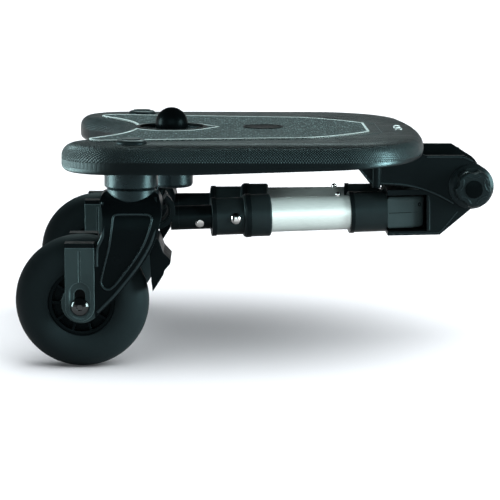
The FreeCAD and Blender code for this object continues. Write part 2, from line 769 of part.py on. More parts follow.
def make_fork(side, sign):
    """Arched fork: two legs bridged by a crown, with a recessed panel on each leg and a stepped front guard."""
    leg = {name: fork_point(pair) for name, pair in LEG_SHARES.items() if isinstance(pair, tuple)}
    leg = SimpleNamespace(**leg)
    strut_front = d.strut_width / 2 - d.caster_trail
    shoulder = (strut_front, d.fork_top * LEG_SHARES["strut_shoulder"])
    toe = (strut_front, d.fork_top * LEG_SHARES["toe"])
    legs = padded(f"fork_legs_{side}", "XZ_Plane", d.fork_half_width * 2, leg.crown_rear, [
        (leg.rear_corner_via, leg.rear_corner), (leg.waist_via, leg.waist), (shoulder,), (toe,), (leg.shin,),
        (leg.knee,), (leg.thigh_via, leg.thigh), (leg.front_via, leg.front_corner), (leg.crown_front,),
        (leg.crown_rear,)])
    outer = arch(f"fork_arch_{side}", d.fork_half_width, d.fork_top, d.fork_foot)
    tunnel_half = d.tyre_width / 2 + d.tyre_side_clearance
    tunnel = arch(f"fork_tunnel_{side}", tunnel_half, d.tunnel_top, d.fork_foot - d.overrun)
    shell = cut(f"fork_shell_{side}", shared(f"fork_form_{side}", legs, outer), tunnel)
    guard = SimpleNamespace(**{name: fork_point(pair) for name, pair in GUARD_SHARES.items()})
    guard_plate = padded(f"fork_guard_{side}", "XZ_Plane", (tunnel_half + d.guard_embed) * 2, guard.lip, straight(
        guard.lip_top, guard.step, guard.step_top, guard.nose, guard.nose_top, guard.brow, guard.root,
        guard.inside, guard.lip))
    sweep = cylinder(f"fork_guard_sweep_{side}", d.wheel_radius + d.guard_clearance, d.fork_half_width * 2,
                     (-d.caster_trail, -d.fork_half_width, d.guard_centre_height), "+Y")
    panel = SimpleNamespace(**{name: fork_point(pair) for name, pair in PANEL_SHARES.items()})
    panel_plate = padded(f"fork_panel_{side}", "XZ_Plane", (d.fork_half_width + d.overrun) * 2, panel.top_rear, [
        (panel.top_front,), (panel.corner_via, panel.corner), (panel.front_via, panel.front), (panel.toe_front,),
        (panel.toe_via, panel.toe_rear), (panel.rear_via, panel.rear), (panel.top_rear,)])
    panel_floor = arch(f"fork_panel_floor_{side}", d.fork_half_width - d.panel_depth, d.fork_top - d.panel_depth,
                       d.fork_foot - d.overrun)
    recess = cut(f"fork_recess_{side}", panel_plate, panel_floor)
    cup_foot = cup_top - d.cup_height
    seat = cylinder(f"fork_cup_seat_{side}", d.cup_radius, d.cup_height * 2, (ZERO, ZERO, cup_foot))
    bore = cylinder(f"fork_pin_bore_{side}", pin_bore, d.fork_top - d.fork_foot, (ZERO, ZERO, d.fork_foot))
    nut_room = cylinder(f"fork_nut_room_{side}", d.king_pin_nut_radius + d.clear_gap, crown_face - d.fork_foot,
                        (ZERO, ZERO, d.fork_foot))
    whole = joined(f"fork_whole_{side}", shell, cut(f"fork_guard_cut_{side}", guard_plate, sweep))
    fork = cut(f"fork_cut_{side}", whole, recess, seat, bore, nut_room)
    at_post = (post_x, half_track * sign, ZERO)
    node(f"fork_{side}", place(fork, at_post))
    cup = turned(f"cup_{side}", "XZ_Plane", (pin_bore, cup_foot), straight(
        (d.cup_radius, cup_foot), (d.cup_radius, cup_top - d.socket_edge), (d.cup_radius - d.socket_edge, cup_top),
        (pin_bore, cup_top), (pin_bore, cup_foot)))
    node(f"swivel_cup_{side}", place(cup, at_post))


def long_hole(name, width, low, high, inner, depth):
    """A tool for an upright round-ended slot that is cut along Y from an inner plane."""
    radius = width / 2
    middle = box(f"{name}_middle", (-radius, inner, low + radius), (radius, inner + depth, high - radius))
    ends = [cylinder(f"{name}_end_{index}", radius, depth, (ZERO, inner, height), "+Y")
            for index, height in enumerate((low + radius, high - radius))]
    return joined(name, middle, *ends)


def make_strut(name):
    """One suspension strut, standing on the +Y side of the wheel's middle."""
    half = d.strut_width / 2
    outer = d.strut_inner + d.strut_thickness
    foot = axle_z - half
    plate = padded(f"{name}_plate", "XZ_Plane", d.strut_thickness, (-half, d.strut_top), [
        ((-half, axle_z),), ((ZERO, foot), (half, axle_z)), ((half, d.strut_top),), ((-half, d.strut_top),)])
    place(plate, (ZERO, d.strut_inner + d.strut_thickness / 2, ZERO))
    slot_foot = axle_z - d.slot_width / 2
    slot = long_hole(f"{name}_slot", d.slot_width, slot_foot, d.slot_top, d.strut_inner, d.strut_thickness)
    channel_low = (-d.slot_width / 2, d.strut_inner - d.overrun, d.slider_foot - d.slider_clearance)
    channel = box(f"{name}_channel", channel_low, (d.slot_width / 2, outer - d.strut_skin, d.channel_top))
    recess_foot = axle_z - d.recess_width / 2 - d.recess_depth
    recess = long_hole(f"{name}_recess", d.recess_width, recess_foot, d.recess_top, outer - d.recess_depth, d.overrun)
    spring_y = (d.strut_inner + outer - d.strut_skin) / 2
    spring_bore = cylinder(f"{name}_spring_bore", d.spring_bore_radius, d.spring_bore_top - d.slot_top,
                           (ZERO, spring_y, d.slot_top))
    groove = box(f"{name}_groove", (-d.groove_width / 2, outer - d.groove_depth, d.recess_top - d.overrun),
                 (d.groove_width / 2, outer + d.overrun, d.strut_top - d.groove_top_margin))
    return cut(name, plate, slot, channel, recess, spring_bore, groove)


def make_spring(name):
    """A compression spring between the slide block and the roof of its bore."""
    low = d.slider_top + d.spring_wire_radius + d.slide_gap
    height = d.spring_bore_top - d.spring_wire_radius - d.slide_gap - low
    outer = d.strut_inner + d.strut_thickness
    spine = doc.addObject("Part::Helix", f"{name}_spine")
    bind(spine, Radius=d.spring_radius, Height=height, Pitch=height / counts.spring_turns)
    wire = doc.addObject("Part::Circle", f"{name}_wire")
    bind(wire, Radius=d.spring_wire_radius)
    place(wire, (d.spring_radius, ZERO, ZERO), TURN_TO["-Y"])
    coil = doc.addObject("Part::Sweep", name)
    coil.Sections = [wire]
    coil.Spine = (spine, ["Edge1"])
    coil.Solid = True
    coil.Frenet = True
    return place(coil, (ZERO, (d.strut_inner + outer - d.strut_skin) / 2, low))


def pair_about_wheel(name, side, make):
    """Two like pieces, one on each side of the wheel, as one sub-part at the wheel's place."""
    pieces = []
    for index, turn in enumerate((0, 180)):
        holder = group(f"{name}_half_{index}_{side}", make(f"{name}_{index}_{side}"))
        holder.Placement = FreeCAD.Placement(FreeCAD.Vector(), FreeCAD.Rotation(FreeCAD.Vector(0, 0, 1), turn))
        pieces.append(holder)
    return group(f"{name}_pair_{side}", *pieces)


def make_strut_cap(name):
    """The black cover on top of a strut."""
    half = d.strut_width / 2
    outer = d.strut_inner + d.strut_thickness
    return box(name, (-half, d.strut_inner, d.strut_top), (half, outer, d.strut_top + d.strut_cap_height))


def make_axle_end(name):
    """One end of the axle: half the shaft, a domed head with a hexagon socket, and its slide block."""
    outer = d.strut_inner + d.strut_thickness
    head_foot = outer - d.recess_depth + d.slide_gap
    head_top = head_foot + d.axle_head_height
    rim = head_foot + d.axle_head_rim
    round_part = turned(f"{name}_turned", "XY_Plane", (ZERO, ZERO), [
        ((d.axle_radius, ZERO),), ((d.axle_radius, head_foot),), ((d.axle_head_radius, head_foot),),
        ((d.axle_head_radius, rim),), dome(d.axle_head_radius, rim, head_top - rim, 1), ((ZERO, ZERO),)])
    place(round_part, (ZERO, ZERO, axle_z))
    socket = hexagon(f"{name}_socket", d.axle_socket_radius, d.axle_socket_depth + d.overrun,
                     (ZERO, head_top - d.axle_socket_depth, axle_z), "+Y")
    half = d.slot_width / 2 - d.slider_clearance
    low = (-half, d.strut_inner + d.slider_clearance, d.slider_foot)
    block = box(f"{name}_block", low, (half, outer - d.strut_skin - d.slider_clearance, d.slider_top))
    return cut(name, joined(f"{name}_solid", round_part, block), socket)


def make_axle(side, at_wheel):
    """The whole axle bolt: two like ends joined in the middle."""
    ends = []
    for index, turn in enumerate((0, 180)):
        end = group(f"axle_half_{index}_{side}", make_axle_end(f"axle_end_{index}_{side}"))
        end.Placement = FreeCAD.Placement(FreeCAD.Vector(), FreeCAD.Rotation(FreeCAD.Vector(0, 0, 1), turn))
        ends.append(end)
    node(f"axle_bolt_{side}", place(joined(f"axle_whole_{side}", *ends), at_wheel))


def make_wheel(side, at_wheel):
    """Solid tyre, ribbed hub and two bushes, all round the axle."""
    at_axle = (at_wheel[0], at_wheel[1], axle_z)
    reach = d.wheel_radius - d.tyre_seat_radius
    seat = (reach * d.tyre_width - reach * reach).root()
    tyre = turned(f"tyre_turned_{side}", "XY_Plane", (d.tyre_seat_radius, -seat), [
        ((d.wheel_radius, ZERO), (d.tyre_seat_radius, seat)), ((d.tyre_seat_radius, -seat),)])
    node(f"tyre_{side}", place(tyre, at_axle))
    rim_inner = d.tyre_seat_radius - d.hub_rim_thickness
    web, rim, boss = d.hub_web / 2, d.hub_rim_width / 2, d.hub_width / 2
    hub = turned(f"hub_turned_{side}", "XY_Plane", (d.bush_radius, -boss), straight(
        (d.hub_boss_radius, -boss), (d.hub_boss_radius, -web), (rim_inner, -web), (rim_inner, -rim),
        (d.tyre_seat_radius, -rim), (d.tyre_seat_radius, rim), (rim_inner, rim), (rim_inner, web),
        (d.hub_boss_radius, web), (d.hub_boss_radius, boss), (d.bush_radius, boss), (d.bush_radius, -boss)))
    rib = d.hub_rib_width / 2
    inside = d.hub_boss_radius - d.hub_rim_thickness / 2
    outside = rim_inner + d.hub_rim_thickness / 2
    rib_sketch = draw_outline(hub, f"hub_rib_outline_{side}", "XY_Plane", (inside, -rib), straight(
        (outside, -rib), (outside, rib), (inside, rib), (inside, -rib)))
    rib_pad = hub.newObject("PartDesign::Pad", f"hub_rib_{side}")
    rib_pad.Profile = rib_sketch
    rib_pad.SideType = "Symmetric"
    bind(rib_pad, Length=d.hub_rib_thickness)
    doc.recompute()
    pattern = hub.newObject("PartDesign::PolarPattern", f"hub_ribs_{side}")
    pattern.Originals = [rib_pad]
    pattern.Axis = (next(item for item in hub.Origin.OriginFeatures if item.Role == "Y_Axis"), [""])
    pattern.Angle = 360
    pattern.Occurrences = counts.hub_ribs
    hub.Tip = pattern
    node(f"wheel_hub_{side}", place(hub, at_axle))
    length = d.strut_inner - d.bush_end_gap - d.bush_inner_end
    bushes = [ring(f"bush_{way}_{side}", d.bush_radius, d.axle_radius + d.running_gap, length,
                   (ZERO, d.bush_inner_end * sign, ZERO), way)
              for way, sign in (("+Y", 1), ("-Y", -1))]
    node(f"wheel_bushes_{side}", place(group(f"bushes_{side}", *bushes), at_axle))


def make_caster(side, sign):
    at_wheel = (wheel_x, half_track * sign, ZERO)
    make_fork(side, sign)
    node(f"struts_{side}", place(pair_about_wheel("strut", side, make_strut), at_wheel))
    node(f"strut_caps_{side}", place(pair_about_wheel("strut_cap", side, make_strut_cap), at_wheel))
    node(f"suspension_springs_{side}", place(pair_about_wheel("spring", side, make_spring), at_wheel))
    make_axle(side, at_wheel)
    make_wheel(side, at_wheel)


BRACKET_LOWER_SHARES = {"heel": (0.0, 0.52128), "foot": (0.109, 0.0309), "sole": (0.283, 0.00713)}
BRACKET_BELLY_SHARES = (0.613, -0.238)
BRACKET_END_TURNS = {"under": -120, "tip": -34, "over": 52}


def make_bracket():
    """Channel under the deck's front: two walls that carry the hinge, joined by a plate under the deck."""
    hinge = (d.hinge_forward, d.hinge_height)
    span = d.hinge_forward - d.bracket_rear
    drop = underside(d.bracket_rear) - d.boss_foot
    lower = SimpleNamespace(**{name: (d.bracket_rear + span * pair[0], d.boss_foot + drop * pair[1])
                               for name, pair in BRACKET_LOWER_SHARES.items()})
    belly_via = (d.bracket_rear + span * BRACKET_BELLY_SHARES[0],
                 d.hinge_height + d.bracket_end_radius * BRACKET_BELLY_SHARES[1])
    end = SimpleNamespace(**{name: polar(hinge, d.bracket_end_radius, turn)
                             for name, turn in BRACKET_END_TURNS.items()})
    heel_top = (d.bracket_rear, underside(d.bracket_rear))
    plate_front = (d.bracket_pocket_rear, underside(d.bracket_pocket_rear))
    rim_rear = (d.deck_front, underside(d.deck_front) - d.bracket_rim_drop)
    rim_front = (d.bracket_rim_front, d.hinge_height + d.bracket_end_radius + d.bracket_rim_rise)
    walls = padded("bracket_walls", "XZ_Plane", d.bracket_half_width * 2, heel_top, [
        (lower.heel,), (lower.foot,), (lower.sole,), (belly_via, end.under), (end.tip, end.over),
        (rim_front,), (rim_rear,), (plate_front,), (heel_top,)])
    bosses = [cylinder(f"boss_{side}", d.boss_radius, underside(d.boss_forward - d.boss_radius) - d.boss_foot,
                       (d.boss_forward, d.boss_offset * sign, d.boss_foot)) for side, sign in SIDES.items()]
    ahead = d.hinge_forward + d.bracket_end_radius + d.overrun
    plate_foot = heel_top[1] - d.bracket_plate
    behind = d.bracket_rear - d.overrun
    channel = box("bracket_channel", (behind, -wall_inner, ZERO), (ahead, wall_inner, plate_foot))
    pocket = box("bracket_pocket", (d.bracket_pocket_rear, -wall_inner, ZERO),
                 (ahead, wall_inner, deck_top + d.bracket_end_radius))
    bore = cylinder("bracket_bore", bolt_bore, (d.bracket_half_width + d.overrun) * 2,
                    (hinge[0], -d.bracket_half_width - d.overrun, hinge[1]), "+Y")
    tools = [channel, pocket, bore]
    for side, sign in SIDES.items():
        boss = (d.boss_forward, d.boss_offset * sign, d.boss_foot)
        tools.append(cylinder(f"boss_hole_{side}", hole_radius, d.bracket_screw_length, boss))
        screw = (d.deck_screw_forward, d.deck_screw_offset * sign, plate_foot)
        tools.append(cylinder(f"plate_hole_{side}", hole_radius, d.deck_thickness, screw))
    node("front_bracket", cut("bracket_cut", joined("bracket_solid", walls, *bosses), *tools))


def make_hinge():
    """Cross bolt with its head cover, the friction washers and the clamp knob."""
    at_hinge = (d.hinge_forward, ZERO, d.hinge_height)
    outside = d.bracket_half_width + d.slide_gap
    bolt_end = outside + d.knob_bolt_depth
    shaft = cylinder("bolt_shaft", d.hinge_bolt_radius, bolt_end + outside, (ZERO, -bolt_end, ZERO), "+Y")
    head = hexagon("bolt_head", d.hinge_head_radius, d.hinge_head_height, (ZERO, outside, ZERO), "+Y")
    node("hinge_bolt", place(joined("bolt", shaft, head), at_hinge))
    cap_top = outside + d.hinge_cap_height
    cap_bore = d.hinge_cap_radius - d.hinge_cap_wall
    cap_roof = cap_top - d.hinge_cap_dome
    cap = turned("hinge_cap_turned", "XY_Plane", (cap_bore, outside), [
        ((d.hinge_cap_radius, outside),), ((d.hinge_cap_radius, cap_roof),),
        dome(d.hinge_cap_radius, cap_roof, d.hinge_cap_dome, 1), ((ZERO, cap_roof),), ((cap_bore, cap_roof),),
        ((cap_bore, outside),)])
    node("hinge_cap", place(cap, at_hinge))
    gap = (d.carrier_side_gap - d.washer_thickness) / 2
    washers = [ring(f"washer_{way}", d.washer_radius, bolt_bore, d.washer_thickness,
                    (ZERO, (carrier_half_width + gap) * sign, ZERO), way) for way, sign in (("+Y", 1), ("-Y", -1))]
    node("friction_washers", place(group("washers", *washers), at_hinge))
    foot = -outside - d.slide_gap
    flange_top = foot - d.knob_flange_height
    top = foot - d.knob_height
    round_share = 0.7
    shoulder = (d.knob_radius - d.knob_round * (1 - round_share), top + d.knob_round * (1 - round_share))
    knob = turned("knob_turned", "XY_Plane", (ZERO, foot), [
        ((d.knob_flange_radius, foot),), ((d.knob_flange_radius, flange_top + d.knob_flange_height / 2),),
        ((d.knob_radius, flange_top),), ((d.knob_radius, top + d.knob_round),),
        (shoulder, (d.knob_radius - d.knob_round, top)), ((d.knob_boss_radius, top),),
        ((d.knob_boss_radius, top - d.knob_boss_height),), ((ZERO, top - d.knob_boss_height),), ((ZERO, foot),)])
    tools = [cylinder("knob_bore", bolt_bore, d.knob_bolt_depth + d.slide_gap, (ZERO, -outside, ZERO), "-Y")]
    for index in range(counts.knob_scallops):
        x, z = polar((ZERO, ZERO), d.knob_scallop_circle, 90 + 360 * index / counts.knob_scallops)
        foot_point = (x, flange_top, z)
        tools.append(cylinder(f"knob_scallop_{index}", d.knob_scallop_radius, d.knob_height, foot_point, "-Y"))
    node("clamp_knob", place(cut("knob_cut", knob, *tools), at_hinge))


TILT = FreeCAD.Rotation(FreeCAD.Vector(0, 1, 0), -angles.carrier_tilt)
SLOPE_TURN = -50.8
CARRIER_TOP_TURN = 120
CARRIER_NOSE_TURN = 30
CARRIER_NECK_SHARE = 1.5


def make_carrier():
    """The folding carrier: a barrel on the hinge bolt and two plates that hold the swing pins."""
    at_hinge = (d.hinge_forward, ZERO, d.hinge_height)
    barrel = [polar((ZERO, ZERO), d.carrier_barrel_radius, turn)
              for turn in (SLOPE_TURN, CARRIER_NOSE_TURN, CARRIER_TOP_TURN)]
    bottom, top = -d.carrier_bottom, -d.carrier_top
    floor, roof = bottom + d.carrier_bottom_plate, top - d.carrier_top_plate
    neck = (-d.carrier_barrel_radius * CARRIER_NECK_SHARE, top)
    profile = padded("carrier_profile", "XZ_Plane", carrier_half_width * 2, (-d.carrier_reach, bottom), [
        ((-d.carrier_slope_start, bottom),), (barrel[0],), (barrel[1], barrel[2]), (neck,),
        ((-d.carrier_reach, top),), ((-d.carrier_reach, roof),), ((-d.carrier_window, roof),),
        ((-d.carrier_window, floor),), ((-d.carrier_reach, floor),), ((-d.carrier_reach, bottom),)])
    core_half = carrier_half_width - d.carrier_side_wall
    core = box("carrier_core", (-d.carrier_window - d.overrun, -core_half, floor),
               (-d.carrier_slope_start, core_half, roof))
    bore = cylinder("carrier_bore", bolt_bore, carrier_half_width * 2, (ZERO, -carrier_half_width, ZERO), "+Y")
    tools = [core, bore]
    pins = []
    length = d.carrier_bottom - d.carrier_top
    for side, sign in SIDES.items():
        spot = (-d.pin_setback, d.pin_offset * sign)
        tools.append(cylinder(f"pin_hole_{side}", d.pin_radius + d.running_gap, length, (*spot, bottom)))
        shaft = cylinder(f"pin_shaft_{side}", d.pin_radius, length, (*spot, bottom))
        head = cylinder(f"pin_head_{side}", d.pin_head_radius, d.pin_head_height, (*spot, top))
        pins.append(joined(f"pin_{side}", shaft, head))
    node("arm_carrier", place(cut("carrier_cut", profile, *tools), at_hinge, TILT))
    node("swing_pins", place(group("pins", *pins), at_hinge, TILT))


def arm_place(feature, sign):
    """Set an arm piece, drawn along -X from its pin, on the tilted carrier at its splay."""
    splay = FreeCAD.Rotation(FreeCAD.Vector(0, 0, 1), -angles.arm_splay * sign)
    tilt = math.radians(angles.carrier_tilt)
    back, drop = -d.pin_setback, -d.arm_drop
    forward = d.hinge_forward + back * math.cos(tilt) - drop * math.sin(tilt)
    height = d.hinge_height + back * math.sin(tilt) + drop * math.cos(tilt)
    return place(feature, (forward, d.pin_offset * sign, height), TILT.multiply(splay))


def along_arm(name, radius, front, rear):
    """A rod along the arm between two distances from its pin."""
    return cylinder(name, radius, rear - front, (-front, ZERO, ZERO), "-X")


def make_arm(side, sign):
    """One arm: swivel block, front sleeve, aluminium tube, ring, tip sleeve and the snap button's place."""
    half = d.block_half_width
    body = padded(f"block_plate_{side}", "XY_Plane", d.block_height, (-d.block_end, -half), [
        ((ZERO, -half),), ((half, ZERO), (ZERO, half)), ((-d.block_end, half),), ((-d.block_end, -half),)])
    doc.recompute()
    pad = body.Tip
    rims = [f"Edge{index}" for index, edge in enumerate(pad.Shape.Edges, start=1)
            if edge.BoundBox.ZLength < d.running_gap.value]
    fillet = body.newObject("PartDesign::Fillet", f"block_edges_{side}")
    fillet.Base = (pad, rims)
    bind(fillet, Radius=d.block_round)
    spigot = along_arm(f"block_spigot_{side}", d.spigot_radius, d.block_end - d.block_round,
                       d.block_end + d.spigot_length)
    bore = cylinder(f"block_bore_{side}", d.pin_radius + d.running_gap, d.block_height,
                    (ZERO, ZERO, -d.block_height / 2))
    block = cut(f"block_{side}", joined(f"block_solid_{side}", body, spigot), bore)
    node(f"swivel_block_{side}", arm_place(block, sign))
    seat = d.tube_radius + d.running_gap
    sleeve = cut(f"sleeve_{side}", along_arm(f"sleeve_outer_{side}", d.sleeve_radius, d.sleeve_front, d.sleeve_rear),
                 along_arm(f"sleeve_inner_{side}", seat, d.tube_front, d.sleeve_rear),
                 along_arm(f"sleeve_mouth_{side}", d.spigot_radius + d.slide_gap, d.sleeve_front, d.sleeve_rear))
    node(f"socket_sleeve_{side}", arm_place(sleeve, sign))
    holes = [cylinder(f"index_hole_{index}_{side}", d.index_hole_radius, d.tube_radius + d.overrun,
                      (-d.index_hole_front - d.index_hole_pitch * index, ZERO, ZERO)) for index in range(2)]
    tube = cut(f"tube_{side}", along_arm(f"tube_outer_{side}", d.tube_radius, d.tube_front, d.tube_end),
               along_arm(f"tube_inner_{side}", d.tube_bore, d.tube_front, d.tube_end), *holes)
    node(f"outer_tube_{side}", arm_place(tube, sign))
    rounding = d.ring_round
    clamp = cut(f"ring_{side}", along_arm(f"ring_outer_{side}", d.ring_radius, d.ring_front, d.tube_end),
                along_arm(f"ring_inner_{side}", seat, d.ring_front, d.tube_end))
    node(f"tube_ring_{side}", arm_place(round_ring(clamp, f"ring_rounded_{side}", rounding), sign))
    slide_bore = d.inner_radius + d.slide_gap
    counterbore = d.button_seat - d.button_travel - d.slide_gap
    tip = cut(f"tip_{side}", joined(
        f"tip_solid_{side}", along_arm(f"tip_outer_{side}", d.tip_sleeve_radius, d.tube_end, d.tip_sleeve_end),
        along_arm(f"tip_spigot_{side}", d.spigot_radius, d.tube_end - d.tip_spigot_length, d.tip_sleeve_end)),
        along_arm(f"tip_bore_{side}", slide_bore, d.tube_end - d.tip_spigot_length, d.tip_sleeve_end),
        cylinder(f"tip_counterbore_{side}", d.button_radius + d.slide_gap, d.tip_sleeve_radius,
                 (-d.button_setback, -counterbore, ZERO), "-Y"),
        cylinder(f"tip_shank_hole_{side}", d.button_shank_radius + d.slide_gap, d.tip_sleeve_radius,
                 (-d.button_setback, ZERO, ZERO), "-Y"))
    node(f"tube_sleeve_{side}", arm_place(tip, sign))


def round_ring(feature, name, radius):
    """Round the two outer edges of a ring along an arm."""
    doc.recompute()
    edges = [index for index, edge in enumerate(feature.Shape.Edges, start=1)
             if edge.BoundBox.XLength < d.running_gap.value
             and abs(edge.BoundBox.YLength - d.ring_radius.value * 2) < d.slide_gap.value]
    rounded = doc.addObject("Part::Fillet", name)
    rounded.Base = feature
    rounded.Edges = [(index, radius.value, radius.value) for index in edges]
    return rounded


def make_button(side, sign):
    """The domed button in the tip sleeve; pressed in, its shank enters a hole of the inner tube."""
    face = d.tip_sleeve_radius
    button = turned(f"button_{side}", "XY_Plane", (ZERO, -d.button_shank_end), [
        ((d.button_shank_radius, -d.button_shank_end),), ((d.button_shank_radius, -d.button_seat),),
        ((d.button_radius, -d.button_seat),), ((d.button_radius, -face),),
        dome(d.button_radius, -face, d.button_dome, -1), ((ZERO, -d.button_shank_end),)])
    moved = group(f"button_moved_{side}", place(button, (-d.button_setback, ZERO, ZERO)))
    node(f"snap_button_{side}", arm_place(moved, sign))


def make_inner_arm(side, sign):
    """The sliding inner tube with the coupling hook and its rubber pad on the end."""
    holes = [cylinder(f"inner_hole_{index}_{side}", d.button_shank_radius + d.clear_gap, d.inner_radius + d.overrun,
                      (d.arm_travel * index - d.button_setback, ZERO, ZERO), "-Y") for index in range(2)]
    bore = d.inner_radius - d.inner_wall
    tube = cut(f"inner_{side}", along_arm(f"inner_outer_{side}", d.inner_radius, d.inner_front, d.inner_end),
               along_arm(f"inner_bore_{side}", bore, d.inner_front, d.inner_end), *holes)
    node(f"inner_tube_{side}", arm_place(tube, sign))
    centre = (-d.jaw_setback, d.jaw_rise)
    first, last = 90 + angles.jaw_mouth / 2, 450 - angles.jaw_mouth / 2

    def jaw(name, inner, outer, width):
        middle = (first + last) / 2
        return padded(name, "XZ_Plane", width, polar(centre, inner, first), [
            (polar(centre, inner, middle), polar(centre, inner, last)), (polar(centre, outer, last),),
            (polar(centre, outer, middle), polar(centre, outer, first)), (polar(centre, inner, first),)])

    plug = along_arm(f"hook_plug_{side}", bore - d.running_gap, d.inner_end - d.hook_plug_length, d.inner_end)
    collar = along_arm(f"hook_collar_{side}", d.inner_radius, d.inner_end, d.hook_collar_end)
    claw = jaw(f"hook_jaw_{side}", d.jaw_inner_radius, d.jaw_outer_radius, d.jaw_width)
    throat = cylinder(f"hook_throat_{side}", d.jaw_inner_radius, d.jaw_width + d.overrun * 2,
                      (centre[0], -d.jaw_width / 2 - d.overrun, centre[1]), "+Y")
    hook = cut(f"hook_{side}", joined(f"hook_solid_{side}", plug, collar, claw), throat)
    node(f"coupling_hook_{side}", arm_place(hook, sign))
    pad = jaw(f"hook_pad_{side}", d.jaw_pad_radius, d.jaw_inner_radius, d.jaw_pad_width)
    node(f"coupling_pad_{side}", arm_place(group(f"hook_pad_moved_{side}", pad), sign))


make_deck()
make_grip_pad()
make_fasteners()
make_lift_knob()
node("cap_discs", group("cap_discs_set", *[make_swivel(side, sign) for side, sign in SIDES.items()]))
for side_name, side_sign in SIDES.items():
    make_caster(side_name, side_sign)
make_bracket()
make_hinge()
make_carrier()
for side_name, side_sign in SIDES.items():
    make_arm(side_name, side_sign)
    make_button(side_name, side_sign)
    make_inner_arm(side_name, side_sign)
doc.recompute()

failed = [item.Name for item in doc.Objects if "Invalid" in item.State or "Error" in item.State]
broken = [item.Label for item in nodes if item.Shape.isNull() or not item.Shape.isValid() or not item.Shape.Solids]
if failed or broken:
    raise RuntimeError(f"features that failed: {failed}; sub-parts with no valid solid: {broken}")

os.makedirs("parts", exist_ok=True)
for item in nodes:
    item.Shape.exportStep(f"parts/{item.Label}.step")
    print(f"{item.Label}: {len(item.Shape.Solids)} solids, {item.Shape.Volume:.0f} mm3")
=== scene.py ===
"""Dressed scene of a buggy board: a standing deck on two sprung casters, with folding coupling arms.

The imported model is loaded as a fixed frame, in metres. Its nodes get their finishes here, and the small
trim that the frame doesn't hold is added as pieces that ride on its bodies.
"""

from __future__ import annotations

import json
import logging
import math
from dataclasses import dataclass
from enum import Enum
from functools import cached_property
from typing import Sequence

import bmesh
import bpy
from mathutils import Matrix, Vector

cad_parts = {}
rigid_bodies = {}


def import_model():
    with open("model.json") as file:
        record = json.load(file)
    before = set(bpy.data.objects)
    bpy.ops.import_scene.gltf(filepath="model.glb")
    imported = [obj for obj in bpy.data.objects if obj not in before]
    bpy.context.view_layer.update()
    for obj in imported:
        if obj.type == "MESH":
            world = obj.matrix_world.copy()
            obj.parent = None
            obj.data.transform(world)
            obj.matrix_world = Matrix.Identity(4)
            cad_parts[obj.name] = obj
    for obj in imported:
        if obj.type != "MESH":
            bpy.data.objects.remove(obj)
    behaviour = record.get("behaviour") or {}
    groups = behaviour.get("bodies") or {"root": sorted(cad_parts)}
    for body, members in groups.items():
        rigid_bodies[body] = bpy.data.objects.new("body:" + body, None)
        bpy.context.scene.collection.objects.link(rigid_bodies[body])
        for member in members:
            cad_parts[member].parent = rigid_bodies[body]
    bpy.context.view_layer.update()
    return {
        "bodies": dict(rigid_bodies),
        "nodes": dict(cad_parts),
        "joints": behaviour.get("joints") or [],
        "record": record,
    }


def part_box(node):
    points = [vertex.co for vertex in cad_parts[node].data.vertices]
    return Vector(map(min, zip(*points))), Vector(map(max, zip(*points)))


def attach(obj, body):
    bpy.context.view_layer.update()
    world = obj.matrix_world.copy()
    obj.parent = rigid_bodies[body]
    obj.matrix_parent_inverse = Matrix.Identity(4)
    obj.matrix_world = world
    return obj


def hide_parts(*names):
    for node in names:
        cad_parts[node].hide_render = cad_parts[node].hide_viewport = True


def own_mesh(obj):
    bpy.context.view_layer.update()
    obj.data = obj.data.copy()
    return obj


LOG = logging.getLogger("buggy_board")
MM = 0.001
MERGE_WITHIN = 1e-6
BEAD_ANGLE = 60.0
BOTH_WAYS = (-1, 1)
HINGE = (199.0 * MM, 0.0, 152.0 * MM)
CARRIER_TILT = 1.2
COOL_SHEEN = (0.6, 0.92, 1.0, 1.0)
NOISE_LOW, NOISE_HIGH = 0.3, 0.7
SMOOTHER_BY, ROUGHER_BY = 0.05, 0.07
FLAT_FACING, EDGE_FACING = 0.995, 0.8
Colour = tuple[float, float, float]
Point = tuple[float, float, float]
Corner = tuple[float, float]
Socket = bpy.types.NodeSocket
Material = bpy.types.Material
Mesh = bmesh.types.BMesh


class Side(Enum):
    """The two sides of the board, by the sign of Y."""

    RIGHT = -1
    LEFT = 1

    @property
    def word(self) -> str:
        """The side's name, as it ends the names of nodes and bodies."""
        return self.name.lower()


class Lathe(Enum):
    """The axis that a turned piece is spun about, before it is moved into place."""

    UPRIGHT = "Z"
    ACROSS = "Y"


